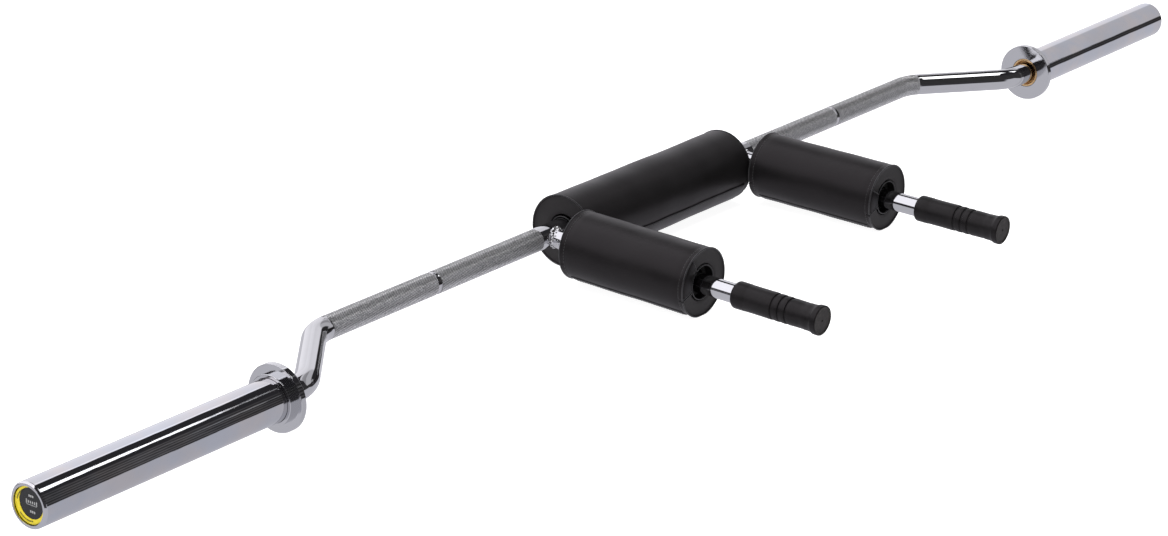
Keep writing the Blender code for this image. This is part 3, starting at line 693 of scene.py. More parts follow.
def make_knurl(name, start, end, look):
    """One length of diamond knurl: a short band with every second point raised, repeated along the bar."""
    count = round((end - start) / (2 * KNURL_STEP))
    band = (end - start) / count
    piece = added(
        bpy.ops.mesh.primitive_cylinder_add, vertices=KNURL_SIDES, radius=KNURL_LOW, depth=band,
        end_fill_type="NOTHING", location=(0.0, 0.0, band / 2),
    )
    piece.name = name
    settle(piece)
    edit_all(piece)
    bpy.ops.mesh.bisect(plane_co=(0.0, 0.0, band / 2), plane_no=(0.0, 0.0, 1.0))
    bpy.ops.mesh.select_mode(type="VERT")
    shape = bmesh.from_edit_mesh(piece.data)
    for vertex in shape.verts:
        around = round(math.atan2(vertex.co.y, vertex.co.x) / math.tau * KNURL_SIDES)
        along = round(vertex.co.z / band * 2)
        vertex.select_set((around + along) % 2 == 0)
    shape.select_flush_mode()
    bmesh.update_edit_mesh(piece.data)
    widen(KNURL_HIGH / KNURL_LOW, 0.0)
    leave_edit()
    apply_modifier(
        piece, "ARRAY", count=count, use_relative_offset=False, use_constant_offset=True,
        constant_offset_displace=(0.0, 0.0, band), use_merge_vertices=True, merge_threshold=NEAR,
    )
    edit_all(piece)
    bpy.ops.mesh.quads_convert_to_tris(quad_method="SHORTEST_DIAGONAL")
    bpy.ops.mesh.select_all(action="DESELECT")
    for height in (0.0, end - start):
        select_edges(piece, lambda co, height=height: abs(co.z - height) < NEAR)
        extrude(0.0)
        widen((KNURL_CORE - NEAR) / KNURL_LOW, height)
    leave_edit()
    settle(piece, Matrix.Translation((start, 0.0, 0.0)) @ Matrix.Rotation(math.pi / 2, 4, "Y"))
    tooth = piece.data.attributes.new("tooth", "FLOAT", "POINT")
    for vertex in piece.data.vertices:
        off = math.hypot(vertex.co.y, vertex.co.z)
        tooth.data[vertex.index].value = (off - KNURL_LOW) / (KNURL_HIGH - KNURL_LOW)
        vertex.co = round_the_bend(vertex.co)
    dress(piece, "bar", look, matrix=BAR, smooth=None)


# Arms and welds

WELD_ROWS = (  # drops round the arm, how far out and how far along it, and their size
    (24, -0.0014, 0.0000, 0.0031),
    (16, -0.0024, 0.0044, 0.0030),
    (14, -0.0026, 0.0084, 0.0026),
)
WELD_VOXEL = 0.00055
COPE_RADIUS = SHAFT_RADIUS - 0.0001


def make_arm(side, matrix, look):
    """The tube, coped to the shaft at its foot."""
    outline = [(ARM_BORE, ARM_LENGTH), (ARM_RADIUS, ARM_LENGTH), (ARM_RADIUS, 0.05)]
    outline += [(ARM_RADIUS, 0.0), (ARM_BORE, 0.0)]
    piece = turned(f"{side}_arm_tube", outline, 64, rounds=((1, 0.0005),), closed=True)
    cut(piece, added(
        bpy.ops.mesh.primitive_cylinder_add, vertices=96, radius=COPE_RADIUS, depth=0.1,
        rotation=(0.0, math.pi / 2, 0.0),
    ))
    dress(piece, "bar", look, (f"{side}_arm",), matrix)


def make_weld(side, direction, matrix, look):
    """A hand-laid bead round the arm's foot: overlapping drops of metal, fused and then roughened."""
    drops = []
    seats = [(row, i) for row in WELD_ROWS for i in range(row[0])]
    for (count, rise, shift, girth), i in seats:
        turn = math.tau * (i + 0.5 * (shift > 0.0)) / count
        wobble = noise.noise(Vector((i * 0.83, direction * 3.1, shift * 900.0)))
        around = ARM_RADIUS + rise + 0.0007 * wobble
        off_shaft = SHAFT_RADIUS + 0.0018
        across, up = around * math.cos(turn), around * math.sin(turn)
        along = math.sqrt(max(off_shaft**2 - min(up**2, 0.00017), 0.0)) + shift
        along += 0.0008 * noise.noise(Vector((i * 1.3, 7.0 + shift * 300.0, direction)))
        size = girth + 0.0009 * noise.noise(Vector((i * 2.1, direction * 5.0, 1.7 + shift * 500.0)))
        drop = added(
            bpy.ops.mesh.primitive_ico_sphere_add, subdivisions=2, radius=size, location=(across, up, along),
            rotation=(0.0, 0.5, turn),
        )
        drop.scale = (1.15, 0.62, 1.0)
        drops.append(drop)
    piece = joined(f"{side}_weld_bead", drops)
    settle(piece)
    apply_modifier(piece, "REMESH", mode="VOXEL", voxel_size=WELD_VOXEL)
    shift = Vector((0.0, 0.0, direction * 9.0))
    displace(piece, lambda co: 0.0006 * noise.noise(co * 260.0 + shift) + 0.00012 * noise.noise(co * 900.0))
    dress(piece, "bar", look, (f"{side}_weld",), matrix, smooth=SOFT_SMOOTH)


# Pads

CENTRE_PAD = {"length": 0.339, "radius": 0.0455, "hole": 0.0175, "core": 0.0168}
ARM_PAD = {"length": 0.183, "radius": 0.0423, "hole": 0.0205, "core": 0.0140}
CENTRE_PAD_HANG = 0.0022
ARM_PAD_START = 0.050
ARM_PAD_RIDE = 0.0017
PAD_SIDES = 72
PAD_CELL = 0.0048
PAD_INSET = 0.0018
PAD_RIM = 0.0022
SEAM_FROM_RIM = 0.0068
SEAM_DEPTH = 0.0007
PIPING_RADIUS = 0.00095
PIPING_SIDES = 10
HEM_RADIUS = 0.0008
WELT_RADIUS = 0.00072
TAB_WELT_RADIUS = 0.0008
FLAP_LIFT = 0.00015
FLAP_CELL = 0.0045
STITCH_LENGTH = 0.0027
STITCH_PITCH = 0.0038
STITCH_RADIUS = 0.00028
STITCH_EDGE = 0.0028  # from a flap's edge to the stitches beside it
STITCH_AIM = 0.008  # outside the roll, where a stitch's way to it starts
LOWEST_STITCH = 0.0015  # above the floor
SLIT_WIDTH = 0.0009
SLIT_DEPTH = 0.006
SLIT_HALF = 0.0011  # from the middle of a slit to the welt along its edge
COVER_TRAVEL = 0.0022  # the most that filling moves a point
CLOTH = {
    "quality": 6, "mass": 0.25, "tension_stiffness": 12.0, "compression_stiffness": 12.0,
    "shear_stiffness": 6.0, "bending_stiffness": 0.4, "vertex_group_mass": "held",
    "use_pressure": True, "uniform_pressure_force": 3.0,
}
SIMULATED_FRAMES = 20
CENTRE_FLAP = {
    "width": 0.030, "angle": math.radians(-52), "margin": 0.009,
    "slit": math.radians(-52), "thickness": 0.0011,
}
ARM_FLAP = {
    "width": 0.014, "angle": math.radians(237), "margin": 0.009,
    "slit": math.radians(199), "thickness": 0.0005,
}
TAB_SPREAD = {"left": (math.radians(150), math.radians(198)), "right": (math.radians(122), math.radians(198))}
TAB_THICKNESS = 0.001
TAB_OUTSIDE = (  # down the tab, from the pad's side to its disc: inside the pad's radius, and below its end
    (0.0026, 0.0110), (0.0016, 0.0080), (0.0008, 0.0050), (0.0010, 0.0024), (0.0028, 0.0008),
    (0.0070, 0.0006),
)
TAB_INSIDE = (  # on into the hole: outside the hole's radius, and below the pad's end
    (0.0070, 0.0010), (0.0025, 0.0018), (-0.0004, 0.0042), (-0.0016, 0.0090), (-0.0020, 0.0150),
)


def side_heights(length, seams):
    """Rows along the roll, with one at each seam."""
    stops = [PAD_RIM] + ([SEAM_FROM_RIM, length - SEAM_FROM_RIM] if seams else []) + [length - PAD_RIM]
    rows = []
    for low, high in zip(stops, stops[1:]):
        count = max(1, round((high - low) / PAD_CELL))
        rows += [low + (high - low) * i / count for i in range(count)]
    return rows + [stops[-1]]


def roll_outline(size, seams):
    """The cover's outline: out over the top, down the outside, in under the bottom and up the bore."""
    length, radius, hole = size["length"], size["radius"], size["hole"]
    disc = [hole + (radius - PAD_RIM - hole) * share for share in (0.0, 0.25, 0.5, 0.75, 0.93)]
    top = [(r, length - PAD_INSET) for r in disc]
    for inwards, down in ((0.45, 0.35), (0.2, 0.1)):
        top.append((radius - PAD_RIM * inwards, length - PAD_INSET * down))
    side = []
    for z in reversed(side_heights(length, seams)):
        from_end = min(z, length - z)
        sunk = SEAM_DEPTH if seams and PAD_RIM + NEAR < from_end < SEAM_FROM_RIM + NEAR else 0.0
        side.append((radius - sunk, z))
    bottom = [(r, length - z) for r, z in reversed(top)]
    bore = [(hole, PAD_INSET + (length - 2 * PAD_INSET) * share) for share in (0.2, 0.4, 0.6, 0.8)]
    return top + side + bottom + bore


def inflate(piece, held):
    """Fills the cover: cloth under pressure, held at its seams, with each point's travel capped."""
    start = [vertex.co.copy() for vertex in piece.data.vertices]
    group = piece.vertex_groups.new(name="held")
    for vertex in piece.data.vertices:
        weight = held(vertex.co)
        if weight > 0.0:
            group.add([vertex.index], weight, "REPLACE")
    cloth = piece.modifiers.new("Cloth", "CLOTH")
    for key, value in CLOTH.items():
        setattr(cloth.settings, key, value)
    cloth.settings.effector_weights.gravity = 0.0
    scene = bpy.context.scene
    scene.frame_start, scene.frame_end = 1, SIMULATED_FRAMES
    for step in range(1, SIMULATED_FRAMES + 1):
        scene.frame_set(step)
    make_active(piece)
    bpy.ops.object.modifier_apply(modifier="Cloth")
    for vertex, before in zip(piece.data.vertices, start):
        travel = vertex.co - before
        if travel.length > COVER_TRAVEL:
            vertex.co = before + travel.normalized() * COVER_TRAVEL
    piece.vertex_groups.clear()
    scene.frame_set(1)


def lay_down(piece):
    """Nothing of a pad goes below the floor: where it rests it is flat."""
    for vertex in piece.data.vertices:
        vertex.co.z = max(vertex.co.z, 0.0)


def make_cover(name, size, seams, flap, matrix, looks, nodes):
    length, radius, hole = size["length"], size["radius"], size["hole"]
    piece = turned(name, roll_outline(size, seams), PAD_SIDES, closed=True)
    for vertex in piece.data.vertices:
        off = math.hypot(vertex.co.x, vertex.co.y)
        if off > radius - 0.0012 and PAD_RIM < vertex.co.z < length - PAD_RIM:
            ease = math.sin(math.pi * vertex.co.z / length) ** 0.5
            soft = noise.noise(vertex.co * 26.0 + Vector((length * 40.0, matrix.translation.x * 7.0, 0.0)))
            share = 1.0 + (0.0006 * soft - 0.0004) * ease / off
            vertex.co.x *= share
            vertex.co.y *= share

    def held(co):
        off = math.hypot(co.x, co.y)
        from_end = min(co.z, length - co.z)
        at_seam = seams and abs(from_end - SEAM_FROM_RIM) < 0.0004 and off > hole + 0.01
        if off < hole + NEAR or from_end < PAD_RIM + NEAR and off > radius - PAD_RIM * 1.2 or at_seam:
            return 1.0
        return 0.75 if from_end < PAD_RIM else 0.0

    inflate(piece, held)
    apply_modifier(piece, "SUBSURF", levels=1, render_levels=1)
    cut_slits(piece, size, flap["slit"])
    settle(piece, matrix)
    lay_down(piece)
    dress(piece, "bar", looks["vinyl"], nodes, smooth=math.radians(50))

    def on_disc(middle, normal):
        return abs(normal.z) > 0.75 and math.hypot(middle.x, middle.y) < radius - PAD_RIM

    paint_faces(piece, looks["disc"], matrix, on_disc)
    return piece


def cut_slits(piece, size, angle):
    """Opens the cover from the hole to the rim at both ends, where it is closed round the tube."""
    reach = size["radius"] - size["hole"] + 0.006
    for z in (0.0, size["length"]):
        middle = polar(size["hole"] - 0.003 + reach / 2, angle, z)
        cut(piece, block((reach, SLIT_WIDTH, 2 * SLIT_DEPTH), middle, angle))


def cord(name, points, radius):
    return tube_along(name, points, [radius] * len(points), PIPING_SIDES)


def make_piping(name, size, angle, matrix, look):
    """Welts round both rims, hems round both holes, and along the slit's edges."""
    length, radius, hole = size["length"], size["radius"], size["hole"]
    rings = ((radius - 0.0004, 0.0008, PIPING_RADIUS), (hole + 0.0004, PAD_INSET, HEM_RADIUS))
    parts = []
    for end in (0, 1):
        def at(z, end=end):
            return length - z if end else z

        for ring, z, thick in rings:
            gap = SLIT_HALF / ring
            turns = [angle + gap + (math.tau - 2 * gap) * i / 96 for i in range(97)]
            parts.append(cord(name, [polar(ring, turn, at(z)) for turn in turns], thick))
        for lean in (-1, 1):
            points = []
            for off in (hole + (radius - hole) * i / 12 for i in range(13)):
                z = PAD_INSET - 0.0004 if off < radius - PAD_RIM else 0.0010
                points.append(polar(off, angle + lean * SLIT_HALF / off, at(z)))
            parts.append(cord(name, points, WELT_RADIUS))
    piece = joined(name, parts)
    displace(piece, lambda co: 0.00012 * noise.noise(co * 260.0))
    settle(piece, matrix)
    lay_down(piece)
    dress(piece, "bar", look, smooth=SOFT_SMOOTH)


def make_flap(name, size, flap, cover, matrix, look, nodes):
    """The overlap that closes the cover, laid on it and lifted a little along its free edge."""
    length, radius = size["length"], size["radius"]
    run = length - 2 * flap["margin"]
    piece = added(
        bpy.ops.mesh.primitive_grid_add, x_subdivisions=round(run / FLAP_CELL), y_subdivisions=9, size=1.0
    )
    piece.name = name
    for vertex in piece.data.vertices:
        along, across = vertex.co.x, vertex.co.y
        wave = 0.0006 * noise.noise(Vector((along * run * 42.0, length * 9.0, 0.3)))
        turn = flap["angle"] + (across * flap["width"] + wave) / radius
        vertex.co = polar(radius + 0.004, turn, length / 2 + along * run)
    settle(piece, matrix)
    apply_modifier(
        piece, "SHRINKWRAP", target=cover, wrap_method="NEAREST_SURFACEPOINT", wrap_mode="ABOVE_SURFACE",
        offset=FLAP_LIFT,
    )
    face_away(piece, matrix @ Vector((0.0, 0.0, length / 2)))
    thickness = flap["thickness"]
    apply_modifier(piece, "SOLIDIFY", thickness=thickness, offset=1.0)
    apply_modifier(
        piece, "BEVEL", width=0.36 * thickness, segments=3, limit_method="ANGLE", angle_limit=math.radians(50)
    )
    lay_down(piece)
    dress(piece, "bar", look, nodes, smooth=math.radians(50))
    return piece


def make_tab(name, size, spread, matrix, looks):
    """Beside the slit the cover's side is turned in over the rim and down the hole, its edges welted."""
    length, radius, hole = size["length"], size["radius"], size["hole"]
    path = [(radius - inwards, length - down) for inwards, down in TAB_OUTSIDE]
    path += [(hole + outwards, length - down) for outwards, down in TAB_INSIDE]
    middle = (spread[0] + spread[1]) / 2

    def place(share, row):
        off, z = path[row]
        narrowed = 1.0 - 0.25 * row / (len(path) - 1)
        turn = middle + (spread[0] + (spread[1] - spread[0]) * share - middle) * narrowed
        return polar(off, turn, z)

    piece = added(bpy.ops.mesh.primitive_grid_add, x_subdivisions=14, y_subdivisions=len(path) - 1, size=1.0)
    piece.name = name
    for vertex in piece.data.vertices:
        row = round((vertex.co.y + 0.5) * (len(path) - 1))
        vertex.co = place(vertex.co.x + 0.5, row)
    face_away(piece, Vector((0.0, 0.0, length / 2)))
    apply_modifier(piece, "SOLIDIFY", thickness=TAB_THICKNESS, offset=1.0)
    apply_modifier(piece, "SUBSURF", levels=1, render_levels=1)
    dress(piece, "bar", looks["vinyl"], matrix=matrix, smooth=SOFT_SMOOTH)
    edges = []
    for share in (0.0, 1.0):
        points = [place(share, row) + Vector((0.0, 0.0, 0.0006)) for row in range(3, len(path) - 1)]
        edges.append(cord(f"{name}_welt", points, TAB_WELT_RADIUS))
    welts = joined(f"{name}_welts", edges)
    dress(welts, "bar", looks["piping"], matrix=matrix, smooth=SOFT_SMOOTH)


def make_core(name, size, matrix, look, nodes):
    """The foam roll under the cover, seen only in the holes."""
    length, outer, end, rows = size["length"], size["hole"] - 0.0004, 0.011, 24
    heights = [end + (length - 2 * end) * i / rows for i in range(rows + 1)]
    outline = [(outer, z) for z in heights] + [(size["core"], z) for z in reversed(heights)]
    piece = turned(name, outline, 48, rounds=((0, 0.001), (rows, 0.001)), closed=True)
    displace(piece, lambda co: 0.0002 * noise.noise(co * 150.0) - 0.0002)
    dress(piece, "bar", look, nodes, matrix)


STITCH_SIDES = 6
STITCH_RINGS = (  # along the stitch, how far it stands out and how thick it is
    (-0.5, -0.9, 0.5), (-0.38, 0.2, 0.95), (0.0, 0.55, 1.0), (0.38, 0.2, 0.95), (0.5, -0.9, 0.5),
)


def stitch_mesh():
    """One stitch along X: a short round thread whose ends go down into the cloth."""
    points, faces = [], []
    for share, rise, thick in STITCH_RINGS:
        for i in range(STITCH_SIDES):
            turn = math.tau * i / STITCH_SIDES
            across, up = thick * math.cos(turn), thick * math.sin(turn) + rise
            points.append(Vector((share * STITCH_LENGTH, STITCH_RADIUS * across, STITCH_RADIUS * up)))
    for first in range(0, len(points) - STITCH_SIDES, STITCH_SIDES):
        for j in range(STITCH_SIDES):
            k = (j + 1) % STITCH_SIDES
            faces.append((first + j, first + k, first + STITCH_SIDES + k, first + STITCH_SIDES + j))
    faces.append(tuple(reversed(range(STITCH_SIDES))))
    faces.append(tuple(range(len(points) - STITCH_SIDES, len(points))))
    return points, faces


def sew(name, seats, look):
    """Copies the stitch to each seat, a place with its run and its outward direction."""
    base, base_faces = stitch_mesh()
    points, faces = [], []
    for place, run, outward in seats:
        run = run.normalized()
        side = outward.cross(run).normalized()
        turn = Matrix((run, side, run.cross(side))).transposed()
        first = len(points)
        points += [place + turn @ point for point in base]
        faces += [tuple(first + index for index in face) for face in base_faces]
    mesh = bpy.data.meshes.new(name)
    mesh.from_pydata([tuple(p) for p in points], [], faces)
    piece = add_object(name, mesh)
    close_up(piece)
    dress(piece, "bar", look, smooth=SOFT_SMOOTH)


def seats_on(target, aims):
    """Where lines of stitches meet a piece: each aim is a point outside it, a direction inwards and a run."""
    seats = []
    graph = bpy.context.evaluated_depsgraph_get()
    shown = target.evaluated_get(graph)
    for start, inward, run in aims:
        hit, place, normal, _ = shown.ray_cast(start, inward, distance=0.03)
        if hit:
            seats.append((place, run, normal))
    return seats


def aim(size, turn, z, matrix, lengthwise):
    """From just outside the roll inwards, for a stitch along the roll or round it."""
    out, around = polar(1.0, turn, 0.0), polar(1.0, turn + math.pi / 2, 0.0)
    run = Vector((0.0, 0.0, 1.0)) if lengthwise else around
    start = matrix @ (out * (size["radius"] + STITCH_AIM) + Vector((0.0, 0.0, z)))
    return start, matrix.to_3x3() @ -out, matrix.to_3x3() @ run


def ring_aims(size, heights, matrix, skip, skip_half):
    """Rings of stitches at some heights, but for where the flap lies."""
    count = round(math.tau * size["radius"] / STITCH_PITCH)
    turns = [math.tau * (i + 0.5) / count for i in range(count)]
    turns = [turn for turn in turns if abs((turn - skip + math.pi) % math.tau - math.pi) >= skip_half]
    return [aim(size, turn, z, matrix, False) for z in heights for turn in turns]


def flap_aims(size, flap, matrix):
    """Two lines of stitches along the flap, one by each edge."""
    length = size["length"]
    run = length - 2 * flap["margin"] - 0.006
    count = round(run / STITCH_PITCH)
    reach = (flap["width"] / 2 - STITCH_EDGE) / size["radius"]
    return [
        aim(size, flap["angle"] + edge * reach, (length - run) / 2 + run * (i + 0.5) / count, matrix, True)
        for edge in (-1, 1) for i in range(count)
    ]


def make_pad(name, size, flap, seams, matrix, looks, prefix):
    cover = make_cover(f"{name}_roll", size, seams, flap, matrix, looks, (f"{prefix}_cover",))
    make_core(f"{name}_core", size, matrix, looks["foam"], (f"{prefix}_foam",))
    strip = make_flap(f"{name}_closure", size, flap, cover, matrix, looks["vinyl"], (f"{prefix}_flap",))
    make_piping(f"{name}_piping", size, flap["slit"], matrix, looks["piping"])
    aims = []
    if seams:
        heights = (SEAM_FROM_RIM, size["length"] - SEAM_FROM_RIM)
        half = flap["width"] / 2 / size["radius"] + 0.05
        aims = ring_aims(size, heights, matrix, flap["angle"] % math.tau, half)
    seats = seats_on(cover, aims) + seats_on(strip, flap_aims(size, flap, matrix))
    seats = [seat for seat in seats if seat[0].z > LOWEST_STITCH]
    sew(f"{name}_stitches", seats, looks["thread"])


# Grips

GRIP_START = 0.281
KNOB = (  # radius and height, from the middle of the grip's dished end to its neck
    (0.0, 0.1183), (0.0011, 0.1184), (0.0016, 0.1192), (0.0146, 0.1192), (0.0153, 0.1200),
    (0.0179, 0.1200), (0.0179, 0.1130), (0.0169, 0.1112), (0.0163, 0.1085), (0.0160, 0.1050),
    (0.0160, 0.1000), (0.0157, 0.0990), (0.0158, 0.0940), (0.0159, 0.0850),
)
GROOVES = (0.0775, 0.0675, 0.0575)
GROOVE = ((0.0030, 0.0), (0.0019, 0.0001), (0.0012, 0.0013), (-0.0012, 0.0013), (-0.0019, 0.0001))
CUFF = (  # from the last groove to the grip's start, and up its bore
    (0.0162, 0.0400), (0.0162, 0.0200), (0.0162, 0.0178), (0.0165, 0.0166), (0.0165, 0.0), (0.0123, 0.0),
    (0.0123, 0.1113), (0.0, 0.1113),
)


def make_grip(side, matrix, looks):
    """A moulded rubber grip: a cuff, three grooves with soft ribs between them, a neck and a flared knob."""
    outline = list(KNOB)
    for middle in GROOVES:
        body = 0.0165 - 0.0006 * middle / 0.1055
        for step, drop in GROOVE:
            outline.append((body - drop, middle + step))
        outline.append((body + 0.00022, middle - 0.0050))
    foot = len(outline) + CUFF.index((0.0165, 0.0))
    rounds = ((foot, 0.0028), (5, 0.0012), (6, 0.0014), (4, 0.0003), (3, 0.0003))
    piece = turned(f"{side}_hand_grip", outline + list(CUFF), 80, rounds)
    placed = matrix @ Matrix.Translation((0.0, 0.0, GRIP_START))
    dress(piece, "bar", looks["rubber"], (f"{side}_grip",), placed, smooth=math.radians(45))

    def on_end(middle, _):
        return middle.z > 0.1182 and math.hypot(middle.x, middle.y) < 0.0172

    paint_faces(piece, looks["rubber_end"], placed, on_end)


# Load sleeves

SLEEVE_RADIUS = 0.025
BUSHING_RADIUS = 0.0196
BORE_RADIUS = 0.0199
POCKET_RADIUS = 0.0206
CAP_RADIUS = 0.0203
PRINT_RADIUS = 0.0199
COLLAR_RADIUS = 0.0385
COLLAR_THICKNESS = 0.0078
CAP_FRONT = 0.3631
PRINT_TOP = CAP_FRONT + 0.0004
MARK_HEIGHT = 0.00024
BLACK_DISC = {"radius": 0.0166, "up": 0.0030, "ahead": 0.0028}  # its middle is off the cap's
BARS = (  # rows of printed bars: how far up, first place and pitch, width, and each bar's thickness
    (0.0105, 0.0, 0.0024, 0.0016, (0.0024,) * 3),
    (0.0040, -0.0040, 0.0028, 0.0014, (0.0044, *(0.0028,) * 4, 0.0044)),
    (0.0010, 0.0030, 0.0, 0.0142, (0.0005,)),
    (-0.0060, 0.0018, 0.0026, 0.0016, (0.0024,) * 3),
)
SLEEVE_PIECES = (  # name, node, look, slot, facets, outline and rounded corners
    ("flange", "collar", "collar", "chrome", 128, [
        (0.0253, 0.0153), (0.0290, 0.0153), (0.0290, COLLAR_THICKNESS), (COLLAR_RADIUS, COLLAR_THICKNESS),
        (COLLAR_RADIUS, 0.0), (BORE_RADIUS, 0.0), (BORE_RADIUS, 0.0030), (0.0253, 0.0030),
    ], ((1, 0.0007), (3, 0.0006), (4, 0.0006), (5, 0.0004), (0, 0.0003))),
    ("load_sleeve", "sleeve", "sleeve", "chrome", 128, [
        (POCKET_RADIUS, SLEEVE_END), (0.0232, SLEEVE_END), (SLEEVE_RADIUS, SLEEVE_END - 0.0022),
        (SLEEVE_RADIUS, 0.25), (SLEEVE_RADIUS, 0.13), (SLEEVE_RADIUS, 0.0033), (BORE_RADIUS, 0.0033),
        (BORE_RADIUS, 0.3594), (POCKET_RADIUS, 0.3594),
    ], ((0, 0.0004), (1, 0.0004), (2, 0.0006))),
    ("bronze_bushing", "inner_bushing", "bronze", "bronze", 96, [
        (0.0146, 0.0320), (BUSHING_RADIUS, 0.0320), (BUSHING_RADIUS, 0.0), (0.0171, 0.0), (0.0171, 0.0120),
        (0.0146, 0.0120),
    ], ((2, 0.0004), (3, 0.0004))),
    ("cap", "end_cap", "cap", "cap_plastic", 96, [
        (0.0, CAP_FRONT), (CAP_RADIUS, CAP_FRONT), (CAP_RADIUS, 0.3597), (0.0196, 0.3597), (0.0196, 0.3517),
        (0.0174, 0.3517), (0.0174, 0.3597), (0.0, 0.3597),
    ], ((1, 0.0005),)),
)
INSIDES = {"outer_bushing": "bronze", "thrust_washer": "steel", "retaining_ring": "steel"}


def make_crescent(side, direction, matrix, look):
    """The yellow print: what a ring leaves outside a disc set off its middle."""
    low = CAP_FRONT + 0.0001
    outline = [(0.0, PRINT_TOP), (PRINT_RADIUS, PRINT_TOP), (PRINT_RADIUS, low), (0.0, low)]
    piece = turned(f"{side}_cap_print", outline, 96)
    cut(piece, added(
        bpy.ops.mesh.primitive_cylinder_add, vertices=96, radius=BLACK_DISC["radius"], depth=0.01,
        location=(direction * -BLACK_DISC["up"], -BLACK_DISC["ahead"], CAP_FRONT),
    ))
    dress(piece, f"{side}_sleeve_body", look, (f"{side}_end_label",), matrix)


def make_marks(side, direction, matrix, light, dark):
    """Rows of plain bars on the cap's dark disc, and ticks on the yellow round it."""
    up, ahead = direction * -1.0, -1.0
    body = f"{side}_sleeve_body"
    bars = []
    for rise, first, pitch, width, thicknesses in BARS:
        for i, thick in enumerate(thicknesses):
            place = (up * rise, ahead * (first + pitch * i), CAP_FRONT + 0.00005)
            bars.append(block((thick, width, MARK_HEIGHT), place))
    dress(joined(f"{side}_cap_marks", bars), body, light, (), matrix)

    ticks = []
    for start, end in ((118, 172), (222, 290)):
        for degrees in range(start, end, 4):
            # Degrees run from ahead, over the top, as the mark is seen from outside
            t = math.radians(degrees)
            ring = BLACK_DISC["radius"]
            place = (up * ring * math.sin(t), ahead * ring * math.cos(t), PRINT_TOP)
            ticks.append(block((0.0016, 0.0007, MARK_HEIGHT), place, math.atan2(place[1], place[0])))
    dress(joined(f"{side}_cap_ticks", ticks), body, dark, (), matrix)


def make_sleeve_end(side, direction, matrix, looks):
    for name, node, look, slot, sides, outline, rounds in SLEEVE_PIECES:
        piece = turned(f"{side}_{name}", outline, sides, rounds, closed=outline[0][0] > 0.0)
        dress(piece, f"{side}_sleeve_body", looks[look], (f"{side}_{node}",), matrix)
    make_crescent(side, direction, matrix, looks["yellow"])
    make_marks(side, direction, matrix, looks["grey_print"], looks["black_print"])


# Floor and light

LAMP_PLACE = (0.0, 0.4, 3.2)
PANEL_WIDTH = 11.0  # degrees from one dark panel ahead to the next
DARK = (0.03, 0.029, 0.031)


def make_floor():
    bpy.ops.mesh.primitive_plane_add(size=60.0)
    floor = bpy.context.object
    floor.name = "floor"
    look = Look("pale_floor", (0.4, 0.4, 0.4), 0.8, specular=0.0)
    look.set("Emission Color", (1.0, 1.0, 1.0, 1.0))
    look.set("Emission Strength", 0.94)
    floor.data.materials.append(look.material)
    floor.visible_glossy = False


def add_lamp():
    """One soft lamp overhead, which is not seen itself."""
    light = bpy.data.lights.new("overhead", "AREA")
    light.shape = "RECTANGLE"
    light.size, light.size_y, light.energy = 4.0, 2.6, 150.0
    lamp = add_object("overhead", light)
    lamp.location = LAMP_PLACE
    lamp.rotation_euler = (Vector() - Vector(LAMP_PLACE)).to_track_quat("-Z", "Y").to_euler()
    lamp.visible_camera = lamp.visible_glossy = False


class Sky(Net):
    """The studio that the chrome mirrors, painted layer over layer."""

    def __init__(self, first):
        world = bpy.data.worlds.new("studio")
        bpy.context.scene.world = world
        super().__init__(world)
        self.nodes.clear()
        self.way = self.nodes.new("ShaderNodeTexCoord").outputs["Generated"]
        split = self.nodes.new("ShaderNodeSeparateXYZ")
        self.links.new(self.way, split.inputs[0])
        self.x, self.y, self.z = split.outputs
        self.colour = first

    def paint(self, factor, colour):
        self.colour = self.mixed(factor, self.colour, colour)

    def step(self, value, low, high):
        return self.span(value, low, high, ease="SMOOTHSTEP")

    def lobe(self, direction, inner, outer):
        """1 inside a cone round a direction, 0 outside it, angles in degrees."""
        cosine = self.add(
            "VectorMath", "Value", {0: self.way, 1: Vector(direction).normalized()}, operation="DOT_PRODUCT"
        )
        return self.step(cosine, math.cos(math.radians(outer)), math.cos(math.radians(inner)))

    def tinted(self, level, tint):
        return self.add("VectorMath", 0, {0: tint, "Scale": level}, operation="SCALE")

    def apart(self, value, other):
        return self.maths("ABSOLUTE", self.maths("SUBTRACT", value, other))

    def within(self, value, low, high, soft):
        """1 between two values and 0 outside them."""
        above = self.step(value, low - soft, low + soft)
        return self.times(above, self.step(value, high + soft, high - soft))

    def near(self, value, middle, half):
        """1 where two angles differ by less than half."""
        return self.step(self.maths("SUBTRACT", self.apart(value, middle), half), 0.5, -0.5)

    def times(self, first, *others):
        for other in others:
            first = self.maths("MULTIPLY", first, other)
        return first

    def total(self, first, *others):
        for other in others:
            first = self.maths("ADD", first, other)
        return first

    def ramps(self, *ramps):
        """The sum of some ramps along the bar, each with its start, end and two levels."""
        return self.total(*(self.span(self.x, *ramp) for ramp in ramps))


